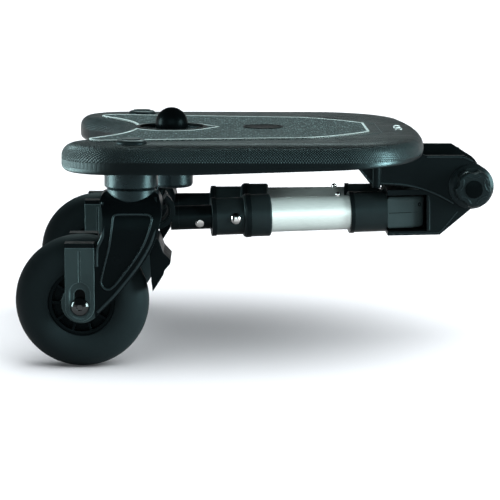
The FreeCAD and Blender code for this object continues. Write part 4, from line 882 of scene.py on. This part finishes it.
@dataclass
class Deck(SubAssembly):
    """The board's top: deck, grip pad, lines, dish collar, plain disc, caps, screws and knob."""

    top: float = 201.0 * MM
    flat_within: float = 0.05 * MM
    dish_x: float = -82.6 * MM
    dish_radius: float = 31.0 * MM
    dish_margin: float = 6.0 * MM
    line_width: float = 2.3 * MM
    line_skirt: float = 0.5 * MM
    line_height: float = 0.3 * MM
    front_line_radius: float = 0.35 * MM
    loop_radius: float = 37.0 * MM
    loop_tip: float = 44.6 * MM
    loop_turn: float = 148.0
    loop_steps: int = 28
    collar_overlap: float = 0.4 * MM
    collar_width: float = 3.2 * MM
    collar_rise: float = 0.9 * MM
    collar_chamfer: float = 0.6 * MM
    collar_steps: int = 96
    badge_x: float = 5.0 * MM
    badge_bevel: float = 0.5 * MM
    badge_rim: float = 1.7 * MM
    badge_dip: float = 2.2 * MM
    badge_side: float = 0.6
    badge_floor: float = 0.45
    badge_steps: int = 80
    screw: Dome = Dome(4.0 * MM, 1.5 * MM, 0.7 * MM)
    screw_socket: float = 1.5 * MM
    socket_lift: float = 0.01 * MM

    @property
    def pad_top(self) -> float:
        """Height of the grip pad's top face."""
        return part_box("grip_pad")[1].z

    def build(self) -> None:
        """Dress the nodes and add the trim."""
        self.dress(Finish.DOTTED_DECK, "deck")
        self.dress(Finish.GRANULAR_PAD, "grip_pad")
        self.dress(Finish.GLOSS_BLACK, "lift_ball")
        self.dress(Finish.SOCKET_GREY, "knob_housing")
        self.dress(Finish.ZINC_PLATE, "lift_stem", "king_pin_right", "king_pin_left")
        self.dress(Finish.FORK_BLACK, "bracket_screws")
        self.dress(Finish.CAP_SHEEN, "cap_discs")
        self.add_border()
        self.add_front_line()
        self.add_loop()
        self.add_collar()
        self.add_badge()
        self.add_screws()

    def add_border(self) -> None:
        """The pale line round the pad: a low strip that also covers the pad's edge."""
        mesh = self.copied("grip_pad")
        level = self.pad_top
        lower = [face for face in mesh.faces if min(v.co.z for v in face.verts) < level - self.flat_within]
        bmesh.ops.delete(mesh, geom=lower, context="FACES")
        inside = mesh.faces[:]
        rims = []
        for width, outward in ((self.line_skirt, True), (self.line_width, False)):
            rims += bmesh.ops.inset_region(mesh, faces=inside, thickness=width, use_boundary=True,
                                           use_even_offset=True, use_outset=outward)["faces"]
        dish = Vector((self.dish_x, 0.0, level))
        clear = self.dish_radius + self.dish_margin
        kept = {face for face in rims if (face.calc_center_median() - dish).length > clear}
        bmesh.ops.delete(mesh, geom=[face for face in mesh.faces if face not in kept], context="FACES")
        bmesh.ops.translate(mesh, verts=mesh.verts[:], vec=(0.0, 0.0, self.top - level))
        self.thicken(mesh, level - self.top + self.line_height)
        self.piece(mesh, "pad_border_line", Finish.PALE_LINE, "board", "pale_plastic")

    @staticmethod
    def thicken(mesh: Mesh, height: float) -> None:
        """Raise flat faces into a low strip that still touches what it lies on."""
        grown = bmesh.ops.extrude_face_region(mesh, geom=mesh.faces[:])["geom"]
        bmesh.ops.translate(mesh, verts=corners(grown), vec=(0.0, 0.0, height))

    def add_front_line(self) -> None:
        """A thin second line outside the front corners of the pad."""
        side = [(92.0, 67.0), (104.0, 53.8), (115.5, 41.0), (115.5, 41.0), (115.5, 20.0)]
        path = side + [(115.5, 0.0)] + [(x, -y) for x, y in reversed(side)]
        mesh = bead([(x * MM, y * MM, self.top) for x, y in path], self.front_line_radius)
        self.piece(mesh, "front_corner_line", Finish.STRUT_GREY, "board", "pale_plastic", BEAD_ANGLE)

    def add_loop(self) -> None:
        """The pale line that runs round the dish to a point ahead of it."""
        mesh = bmesh.new()
        centre = Vector((self.dish_x, 0.0, self.pad_top))
        half = self.line_width / 2
        start = math.radians(self.loop_turn)
        tangent = math.acos(self.loop_radius / self.loop_tip)
        arm = Vector((math.cos(start), math.sin(start), 0.0))
        ends = [mesh.verts.new(centre + arm * (self.loop_radius + offset)) for offset in (-half, half)]
        edge = mesh.edges.new(ends)
        swept = bmesh.ops.spin(mesh, geom=[*ends, edge], cent=centre, axis=(0.0, 0.0, -1.0),
                               angle=start - tangent, steps=self.loop_steps, use_duplicate=False)
        last = [item for item in swept["geom_last"] if isinstance(item, bmesh.types.BMEdge)]
        grown = bmesh.ops.extrude_edge_only(mesh, edges=last)["geom"]
        tips = sorted(corners(grown), key=lambda vert: (vert.co - centre).length)
        reach = half / math.cos(tangent)
        for vert, offset in zip(tips, (-reach, reach)):
            vert.co = centre + Vector((self.loop_tip + offset, 0.0, 0.0))
        whole = mesh.verts[:] + mesh.edges[:] + mesh.faces[:]
        bmesh.ops.mirror(mesh, geom=whole, axis="Y", merge_dist=MERGE_WITHIN)
        self.thicken(mesh, self.line_height)
        self.piece(mesh, "dish_loop_line", Finish.PALE_LINE, "board", "pale_plastic")

    def add_collar(self) -> None:
        """The low collar round the knob's dish."""
        ring = Ring(self.dish_radius - self.collar_overlap, self.dish_radius + self.collar_width, self.top,
                    self.pad_top + self.collar_rise, self.collar_chamfer)
        mesh = moved(ring.shape(steps=self.collar_steps), Matrix.Translation((self.dish_x, 0.0, 0.0)))
        self.piece(mesh, "dish_collar", Finish.GLOSS_BLACK, "board", "black_plastic")

    def add_badge(self) -> None:
        """The plain disc in the pad: a rim round a shallow dished face."""
        low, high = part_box("badge_disc")
        radius, rise = (high.x - low.x) / 2, high.z - low.z
        floor = rise * self.badge_floor
        profile = [(0.0, 0.0), (radius, 0.0), (radius, rise * self.badge_side),
                   (radius - self.badge_bevel, rise), (radius - self.badge_rim, rise),
                   (radius - self.badge_dip, floor), (0.0, floor)]
        place = Matrix.Translation((self.badge_x, 0.0, low.z))
        mesh = moved(turned(profile, steps=self.badge_steps), place)
        disc = self.piece(mesh, "plain_disc", Finish.PLAIN_DISC, "board", "pale_plastic")
        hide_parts("badge_disc")

    def add_screws(self) -> None:
        """Domed heads with a hexagon socket in place of the two plain deck screws."""
        low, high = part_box("deck_screws")
        level = self.screw.rise + self.screw.skirt + self.socket_lift
        heads = []
        for side in Side:
            socket = bmesh.new()
            bmesh.ops.create_circle(socket, cap_ends=True, radius=self.screw_socket, segments=6)
            bmesh.ops.translate(socket, verts=socket.verts[:], vec=(0.0, 0.0, level))
            place = ((low.x + high.x) / 2, (high.y - self.screw.radius) * side.value, self.top)
            heads.append(moved(joined([self.screw.shape(), socket]), Matrix.Translation(place)))
        screws = self.piece(joined(heads), "deck_screw_heads", Finish.ZINC_PLATE, "board", "zinc_steel")
        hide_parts("deck_screws")


@dataclass
class Caster(SidePart):
    """One sprung caster: socket, cap, fork, struts, axle and wheel."""

    post: float = -115.7 * MM
    track: float = 135.0 * MM
    trail: float = 44.5 * MM
    axle_height: float = 60.0 * MM
    fork_half: float = 34.0 * MM
    arch_centre: float = 126.0 * MM
    bead_radius: float = 1.0 * MM
    edge_radius: float = 1.7 * MM
    edge_sink: float = 0.9 * MM
    strut_face: float = 35.9 * MM
    washer: Ring = Ring(8.3 * MM, 17.8 * MM, 18.1 * MM, 19.6 * MM, 0.5 * MM)
    spring_seat: float = 106.0 * MM
    travel: float = 10.0 * MM
    bolt_bright: Colour = (0.07, 0.077, 0.08)
    bolt_dark: Colour = (0.004, 0.006, 0.007)
    tyre_colour: Colour = (0.022, 0.0305, 0.034)

    @property
    def axle(self) -> Point:
        """The wheel's middle."""
        return (self.post - self.trail, self.track * self.side.value, self.axle_height)

    def build(self) -> None:
        """Dress the nodes and add the trim."""
        self.dress(Finish.FORK_BLACK, "fork", "strut_caps", "wheel_hub")
        self.dress(Finish.SOCKET_GREY, "swivel_socket", "swivel_cup")
        self.dress(Finish.CAP_SHEEN, "swivel_cap")
        self.dress(Finish.STRUT_EDGED, "struts")
        bolt = HeadedBolt(self.bolt_bright, self.bolt_dark, self.axle[1], self.strut_face)
        self.coat(bolt.make(self.name("axle_bolt")), "axle_bolt")
        self.dress(Finish.BUSH_NYLON, "wheel_bushes")
        tyre = TyreRubber(self.tyre_colour, self.axle)
        self.coat(tyre.make(self.name("tyre_rubber")), "tyre")
        self.add_beads()
        self.add_washers()
        self.add_springs()

    def on_leg(self, forward: float, height: float, outward: int, depth: float = 0.0) -> Point:
        """A point on the outer face of a fork leg.

        Args:
            forward: Distance ahead of the post, in millimetres.
            height: Height over the floor, in millimetres.
            outward: The leg, by the sign of its offset from the wheel.
            depth: How far the point is sunk in the face, in metres.

        Returns:
            The point in metres.
        """
        half = self.fork_half - depth
        rise = max(0.0, height * MM - self.arch_centre)
        across = math.sqrt(half ** 2 - rise ** 2)
        return (self.post + forward * MM, self.track * self.side.value + outward * across, height * MM)

    def add_beads(self) -> None:
        """The raised lines of each fork leg: round its recessed panel, and along its front and rear edges."""
        panel = [(-26.0, 82.0), (-22.5, 98.0), (-18.5, 112.0), (-16.5, 126.0), (-15.2, 138.0), (-14.0, 141.2),
                 (-10.0, 142.0), (2.0, 142.0), (13.0, 142.0), (17.8, 141.2), (19.4, 137.0), (17.2, 129.0),
                 (13.0, 117.0), (6.5, 105.5), (-3.0, 92.5), (-13.0, 79.5), (-19.0, 74.6), (-25.0, 77.5),
                 (-26.0, 82.0)]
        front = [(21.5, 154.5), (25.2, 147.0), (23.9, 134.0), (18.4, 116.0), (6.2, 95.5), (-3.5, 83.4),
                 (-13.6, 70.8), (-22.0, 62.5), (-29.5, 55.0)]
        rear = [(-24.6, 151.0), (-22.4, 138.0), (-23.4, 124.0), (-27.6, 115.5), (-29.6, 111.0), (-29.6, 96.0)]
        lines = []
        for outward in BOTH_WAYS:
            lines.append(bead([self.on_leg(x, z, outward) for x, z in panel], self.bead_radius))
            for edge in (front, rear):
                path = [self.on_leg(x, z, outward, self.edge_sink) for x, z in edge]
                lines.append(bead(path, self.edge_radius))
        self.piece(joined(lines), "fork_beads", Finish.BEAD_SHEEN, "caster", "black_plastic", BEAD_ANGLE)

    def add_washers(self) -> None:
        """A thin grey washer between the wheel's hub and each strut."""
        hub = Matrix.Translation(self.axle)
        rings = [moved(self.washer.shape(Lathe.ACROSS), hub @ Matrix.Diagonal((1.0, outward, 1.0, 1.0)))
                 for outward in BOTH_WAYS]
        self.piece(joined(rings), "hub_washers", Finish.STRUT_GREY, "wheel", "grey_plastic")

    def add_springs(self) -> None:
        """Springs copied from the CAD node as a piece of their own, in place of the node, which is hidden."""
        node = self.name("suspension_springs")
        springs = self.piece(self.copied("suspension_springs"), "coil_springs", Finish.ZINC_PLATE, "caster",
                             "zinc_steel", BEAD_ANGLE)
        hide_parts(node)
        self.name("suspension")
        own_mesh(springs)


@dataclass
class FoldingJoint(SubAssembly):
    """The front bracket, the carrier, the hinge bolt and the clamp knob."""

    wall_face: float = 51.6 * MM
    wall_line: float = 1.0 * MM
    carrier_face: float = 46.2 * MM
    carrier_line: float = 0.7 * MM
    knob_boss: float = 0.6 * MM
    face_radius: float = 8.2 * MM
    face_bevel: float = 0.6 * MM
    face_side: float = 0.35 * MM
    face_height: float = 0.55 * MM
    face_sink: float = 0.05 * MM
    hollows: int = 5
    hollow_circle: float = 22.0 * MM
    star_radius: float = 11.4 * MM
    star_line: float = 0.5 * MM
    star_turns: tuple[float, ...] = (-31.0, -20.0, -10.0, 0.0, 10.0, 20.0, 31.0)

    def build(self) -> None:
        """Dress the nodes and add the trim."""
        self.dress(Finish.BLACK_PLASTIC, "arm_carrier", "hinge_cap")
        self.dress(Finish.BRACKET_BLACK, "front_bracket")
        self.dress(Finish.KNOB_BLACK, "clamp_knob")
        self.dress(Finish.ZINC_PLATE, "hinge_bolt")
        self.dress(Finish.FORK_BLACK, "swing_pins")
        self.dress(Finish.BUSH_NYLON, "friction_washers")
        self.add_knob_face()
        self.add_knob_star()
        self.add_wall_lines()
        self.add_carrier_lines()

    def add_knob_face(self) -> None:
        """A thin raised face on the clamp knob."""
        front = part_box("clamp_knob")[0].y
        profile = [(0.0, 0.0), (self.face_radius, 0.0), (self.face_radius, -self.face_side),
                   (self.face_radius - self.face_bevel, -self.face_height), (0.0, -self.face_height)]
        place = Matrix.Translation((HINGE[0], front + self.face_sink, HINGE[2]))
        mesh = moved(turned(profile, Lathe.ACROSS), place)
        self.piece(mesh, "clamp_knob_face", Finish.GLOSS_BLACK, "clamp_knob", "black_plastic")

    def add_knob_star(self) -> None:
        """Raised arcs on the knob's face, one for each of its finger hollows."""
        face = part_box("clamp_knob")[0].y + self.knob_boss
        arcs = []
        for index in range(self.hollows):
            outward = math.radians(90.0 + 360.0 / self.hollows * index)
            x = HINGE[0] + self.hollow_circle * math.cos(outward)
            z = HINGE[2] + self.hollow_circle * math.sin(outward)
            turns = [outward + math.pi + math.radians(turn) for turn in self.star_turns]
            path = [(x + self.star_radius * math.cos(turn), face, z + self.star_radius * math.sin(turn))
                    for turn in turns]
            arcs.append(bead(path, self.star_line))
        self.piece(joined(arcs), "clamp_knob_star", Finish.BEAD_SHEEN, "clamp_knob", "black_plastic",
                   BEAD_ANGLE)

    def add_wall_lines(self) -> None:
        """Raised lines along the upper and lower edges of the bracket's walls."""
        upper = [(157.0, 179.6), (170.0, 179.7), (184.0, 179.7), (191.0, 179.5), (195.5, 177.6),
                 (200.0, 175.4)]
        lower = [(183.0, 136.1), (175.0, 140.6), (166.0, 145.0), (157.0, 148.6), (146.0, 151.8),
                 (134.0, 153.9), (123.0, 154.5), (112.0, 155.0), (105.0, 155.4), (100.0, 161.0),
                 (95.0, 167.5)]
        lines = side_beads((upper, lower), self.wall_face, self.wall_line)
        self.piece(joined(lines), "bracket_wall_lines", Finish.BEAD_SHEEN, "board", "black_plastic",
                   BEAD_ANGLE)

    def add_carrier_lines(self) -> None:
        """Raised lines beside the carrier's window and along its lower edge."""
        window = [(-38.6, -9.0), (-38.6, -20.0), (-38.6, -32.0), (-38.6, -42.0)]
        foot = [(-76.5, -44.6), (-60.0, -44.6), (-44.0, -44.6), (-30.0, -44.6), (-27.6, -43.2),
                (-12.0, -24.4)]
        lines = [moved(line, carrier_place())
                 for line in side_beads((window, foot), self.carrier_face, self.carrier_line)]
        self.piece(joined(lines), "carrier_lines", Finish.BEAD_SHEEN, "carrier", "black_plastic", BEAD_ANGLE)


@dataclass
class CouplingArm(SidePart):
    """One coupling arm: block, sleeves, tubes, snap button and hook."""

    pin: Point = (-57.0 * MM, 25.0 * MM, -25.5 * MM)
    splay: float = 5.0
    tube_radius: float = 16.25 * MM
    inner_radius: float = 11.25 * MM
    block_radius: float = 15.0 * MM
    seam_radius: float = 0.3 * MM
    plug: Ring = Ring(0.9 * MM, 2.0 * MM, -0.5 * MM, 0.35 * MM, 0.2 * MM)
    plug_way: tuple[float, float] = (0.6, 0.8)
    plug_height: float = 7.0 * MM
    plug_steps: int = 24
    rivet: Dome = Dome(4.2 * MM, 1.0 * MM, 0.5 * MM)
    rivet_back: float = 199.5
    rivet_sink: float = 0.4 * MM
    rivet_turns: tuple[float, ...] = (-24.0, 156.0)
    stop_pin: Dome = Dome(2.6 * MM, 2.4 * MM, 1.4 * MM)
    stop_back: float = 67.0
    stop_sink: float = 0.2 * MM
    lip_chamfer: float = 0.35 * MM
    lips: tuple[tuple[float, ...], ...] = (
        (17.4 * MM, 18.3 * MM, 183.6, 188.0),
        (19.1 * MM, 19.9 * MM, 53.0, 57.0),
        (19.9 * MM, 20.6 * MM, 151.0, 156.0),
    )

    @property
    def place(self) -> Matrix:
        """The arm's own frame.

        Returns:
            The matrix that puts the pin at zero and the arm along -X.
        """
        offset = Vector((self.pin[0], self.pin[1] * self.side.value, self.pin[2]))
        spread = Matrix.Rotation(math.radians(-self.splay * self.side.value), 4, "Z")
        return carrier_place() @ Matrix.Translation(offset) @ spread

    def build(self) -> None:
        """Dress the nodes and add the trim."""
        self.dress(Finish.BLACK_PLASTIC, "inner_tube", "coupling_hook")
        self.dress(Finish.SLEEVE_BLACK, "socket_sleeve", "tube_ring", "tube_sleeve")
        self.dress(Finish.BLOCK_GREY, "swivel_block")
        self.dress(Finish.SATIN_ALUMINIUM, "outer_tube")
        self.dress(Finish.BRIGHT_CHROME, "snap_button")
        self.dress(Finish.JAW_RUBBER, "coupling_pad")
        self.add_rivets()
        self.add_stop_pin()
        self.add_lips()
        self.add_block_marks()

    def on_tube(self, back: float, radius: float, turn: float) -> Matrix:
        """A place on a tube's skin, with Z outward.

        Args:
            back: Distance from the pin along the arm, in millimetres.
            radius: The tube's radius in metres.
            turn: Angle round the tube from the -Y side, upwards, in degrees.

        Returns:
            The matrix of that place.
        """
        angle = math.radians(turn)
        out = Vector((0.0, -math.cos(angle), math.sin(angle)))
        return self.place @ aimed(out * radius + Vector((-back * MM, 0.0, 0.0)), out)

    def add_rivets(self) -> None:
        """The bright rivet that holds the hook in the inner tube, on both sides of it."""
        skin = self.inner_radius - self.rivet_sink
        heads = [moved(self.rivet.shape(), self.on_tube(self.rivet_back, skin, turn))
                 for turn in self.rivet_turns]
        self.piece(joined(heads), "hook_rivets", Finish.BRIGHT_CHROME, "slider", "chrome_metal")

    def add_stop_pin(self) -> None:
        """The small bright stop pin on top of the aluminium tube."""
        place = self.on_tube(self.stop_back, self.tube_radius - self.stop_sink, 90.0)
        pin = moved(self.stop_pin.shape(), place)
        self.piece(pin, "stop_pin", Finish.BRIGHT_CHROME, "arm", "chrome_metal")

    def add_lips(self) -> None:
        """Raised lips at the ends of the sleeves and on the ring."""
        rings = []
        for inner, outer, front, rear in self.lips:
            ring = Ring(inner, outer, 0.0, (rear - front) * MM, self.lip_chamfer).shape()
            rings.append(moved(ring, self.place @ aimed((-front * MM, 0.0, 0.0), (-1.0, 0.0, 0.0))))
        self.piece(joined(rings), "sleeve_lips", Finish.BLACK_PLASTIC, "arm", "black_plastic")

    def add_block_marks(self) -> None:
        """The swivel block's moulding seam and a small plugged hole, on both of its sides."""
        seam = [(-21.0, 15.0), (-10.0, 15.0), (0.0, 15.0), (5.7, 13.9), (10.6, 10.6), (13.9, 5.7)]
        marks = []
        for way in BOTH_WAYS:
            line = bead([(x * MM, way * y * MM, 0.0) for x, y in seam], self.seam_radius)
            marks.append(moved(line, self.place))
            out = Vector((self.plug_way[0], way * self.plug_way[1], 0.0))
            spot = out * self.block_radius + Vector((0.0, 0.0, self.plug_height))
            marks.append(moved(self.plug.shape(steps=self.plug_steps), self.place @ aimed(spot, out)))
        self.piece(joined(marks), "block_marks", Finish.FORK_BLACK, "arm", "black_plastic", BEAD_ANGLE)


@dataclass(frozen=True)
class SoftBox:
    """A soft box light that faces the middle of the object."""

    name: str
    place: Point
    size: tuple[float, float]
    power: float
    only: tuple[str, ...] = ()
    spared: tuple[str, ...] = ()

    def lamp(self, tint: Colour) -> bpy.types.Light:
        """The lamp's settings.

        Args:
            tint: The colour of its light.

        Returns:
            The lamp.
        """
        data = bpy.data.lights.new(self.name, "AREA")
        data.shape = "RECTANGLE"
        data.size, data.size_y = self.size
        data.energy = self.power
        data.color = tint
        return data


@dataclass(frozen=True)
class Sky:
    """A round patch of even sky that lights the floor."""

    name: str
    way: Point
    spread: float
    strength: float

    def lamp(self) -> bpy.types.Light:
        """The lamp's settings.

        Returns:
            The lamp.
        """
        data = bpy.data.lights.new(self.name, "SUN")
        data.energy = self.strength
        data.angle = math.radians(self.spread)
        return data


SOCKETS = ("swivel_socket_right", "swivel_socket_left", "swivel_cup_right", "swivel_cup_left", "knob_housing")


@dataclass
class Studio:
    """A white floor, soft lights and the camera."""

    frame: dict
    camera_place: Point = (-41.4 * MM, -1862.0 * MM, 395.6 * MM)
    pitch: float = 9.54
    yaw: float = 1.02
    roll: float = 0.2
    lens: float = 140.5
    sensor: float = 36.0
    clip_end: float = 60.0
    floor_radius: float = 20.0
    floor_sides: int = 48
    wall_height: float = 6.0
    floor_white: Colour = (0.788, 0.82, 0.85)
    floor_mirrored: float = 0.5
    floor_bounce: float = 0.12
    floor_glow: float = 0.05
    glow_tint: Colour = (0.9, 0.95, 1.0)
    skies: tuple[Sky, ...] = (
        Sky("wide_sky", (-0.1, -0.05, -1.0), 112.0, 1.8),
        Sky("narrow_sky", (-0.5, 0.12, -1.0), 84.0, 3.6),
    )
    surround: float = 0.05
    surround_tint: Colour = (0.85, 0.95, 1.0)
    middle: Point = (0.0, 0.0, 0.13)
    tint: Colour = (0.8, 1.0, 0.985)
    boxes: tuple[SoftBox, ...] = (
        SoftBox("back_box", (0.1, 1.2, 1.5), (1.3, 0.8), 23.0, spared=("badge_disc", "lift_ball")),
        SoftBox("left_box", (-1.35, -0.05, 0.28), (0.5, 0.9), 26.0, spared=("tyre_right", "tyre_left")),
        SoftBox("right_box", (1.3, -0.5, 0.26), (0.55, 0.8), 26.0, spared=("deck",)),
        SoftBox("front_box", (0.0, -2.6, 1.0), (2.4, 1.6), 18.0,
                spared=("axle_bolt_right", "axle_bolt_left", "deck", "outer_tube_left")),
        SoftBox("socket_left_box", (-1.35, -0.05, 0.28), (0.5, 0.9), 300.0, SOCKETS),
        SoftBox("socket_right_box", (1.3, -0.5, 0.26), (0.55, 0.8), 140.0, SOCKETS),
        SoftBox("deck_left_box", (-1.35, 0.2, 0.3), (0.4, 0.4), 20.0, ("deck",)),
        SoftBox("deck_right_box", (1.2, -0.66, 0.05), (0.26, 0.12), 58.0, ("deck",)),
        SoftBox("tube_box", (0.0, -2.2, 0.5), (2.4, 1.8), 34.0, ("outer_tube_right",)),
    )

    def build(self) -> None:
        """Set up everything round the object."""
        floor = self.add_floor()
        self.add_world()
        self.add_lights(floor)
        self.add_camera()
        bpy.context.scene.view_settings.view_transform = "Standard"

    def add_floor(self) -> bpy.types.Object:
        """The floor with a far wall round it.

        Returns:
            The floor, which is stage and no part of the object.
        """
        mesh = bmesh.new()
        bmesh.ops.create_circle(mesh, cap_ends=True, radius=self.floor_radius, segments=self.floor_sides)
        rim = bmesh.ops.extrude_edge_only(mesh, edges=mesh.edges[:])["geom"]
        bmesh.ops.translate(mesh, verts=corners(rim), vec=(0.0, 0.0, self.wall_height))
        data = bpy.data.meshes.new("floor")
        mesh.to_mesh(data)
        mesh.free()
        data.materials.append(self.floor_finish())
        floor = placed("floor", data)
        return floor

    def floor_finish(self) -> Material:
        """A finish that is white to the camera, pale in reflections and greyer to its own bounce.

        Returns:
            The material.
        """
        sheet = NodeSheet("white_floor")
        rays = sheet.add("ShaderNodeLightPath").outputs
        seen = rays["Is Camera Ray"]
        mirrored = sheet.math("MAXIMUM", rays["Is Glossy Ray"], rays["Is Transmission Ray"])
        colour = sheet.mix(mirrored, (self.floor_bounce,) * 3, (self.floor_mirrored,) * 3)
        colour = sheet.mix(seen, colour, self.floor_white)
        matt = sheet.add("ShaderNodeBsdfDiffuse", {"Color": colour}).outputs[0]
        level = sheet.part(sheet.add("ShaderNodeNewGeometry").outputs["Normal"], "Z")
        strength = sheet.times(seen, sheet.remap(level, 0.0, 1.0, 1.0, self.floor_glow))
        inputs = {"Color": (*self.glow_tint, 1.0), "Strength": strength}
        glow = sheet.add("ShaderNodeEmission", inputs).outputs[0]
        both = sheet.add("ShaderNodeAddShader", {0: matt, 1: glow}).outputs[0]
        sheet.feed(sheet.tree.nodes["Material Output"].inputs["Surface"], both)
        sheet.tree.nodes.remove(sheet.shader)
        return sheet.material

    def add_world(self) -> None:
        """A dim, slightly cool surround."""
        world = bpy.data.worlds.new("surround")
        world.use_nodes = True
        back = world.node_tree.nodes["Background"]
        back.inputs["Color"].default_value = (*self.surround_tint, 1.0)
        back.inputs["Strength"].default_value = self.surround
        bpy.context.scene.world = world

    @staticmethod
    def add_lamp(data: bpy.types.Light, place: Point, target: Point, receivers: bpy.types.Collection) -> None:
        """Put a lamp in the scene.

        Args:
            data: The lamp's settings.
            place: Where it is.
            target: Where it points.
            receivers: What it lights.
        """
        lamp = placed(data.name, data)
        lamp.location = place
        lamp.rotation_euler = (Vector(target) - Vector(place)).to_track_quat("-Z", "Y").to_euler()
        lamp.light_linking.receiver_collection = receivers
        LOG.info("lamp %s: %.1f", data.name, data.energy)

    def add_lights(self, floor: bpy.types.Object) -> None:
        """Soft skies for the floor alone, and boxes for all of the object or for named nodes of it.

        Args:
            floor: The floor, which the boxes leave out.
        """
        ground = bpy.data.collections.new("ground")
        ground.objects.link(floor)
        for sky in self.skies:
            self.add_lamp(sky.lamp(), (0.0, 0.0, 0.0), sky.way, ground)
        for box in self.boxes:
            receivers = bpy.data.collections.new(f"{box.name}_lights")
            named = [self.frame["nodes"][name] for name in box.only or box.spared]
            for thing in named if box.only else [floor, *named]:
                receivers.objects.link(thing)
            if not box.only:
                for link in receivers.collection_objects:
                    link.light_linking.link_state = "EXCLUDE"
            self.add_lamp(box.lamp(self.tint), box.place, self.middle, receivers)

    def add_camera(self) -> None:
        """The camera at the photograph's angle."""
        data = bpy.data.cameras.new("camera")
        data.sensor_width = self.sensor
        data.lens = self.lens
        data.clip_end = self.clip_end
        camera = placed("camera", data)
        camera.location = self.camera_place
        camera.rotation_euler = tuple(map(math.radians, (90.0 - self.pitch, -self.roll, -self.yaw)))
        bpy.context.scene.camera = camera


def plain(box: Sequence[Sequence[float]]) -> list[list[float]]:
    """A box's corners as plain lists of numbers."""
    return [[float(part) for part in corner] for corner in box]


def main() -> None:
    """Load the frame, dress it and set the stage."""
    logging.basicConfig(level=logging.INFO, format="%(name)s: %(message)s")
    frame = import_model()
    Deck(frame).build()
    FoldingJoint(frame).build()
    for side in Side:
        Caster(frame, side).build()
        CouplingArm(frame, side).build()
    Studio(frame).build()


if __name__ == "__main__":
    main()
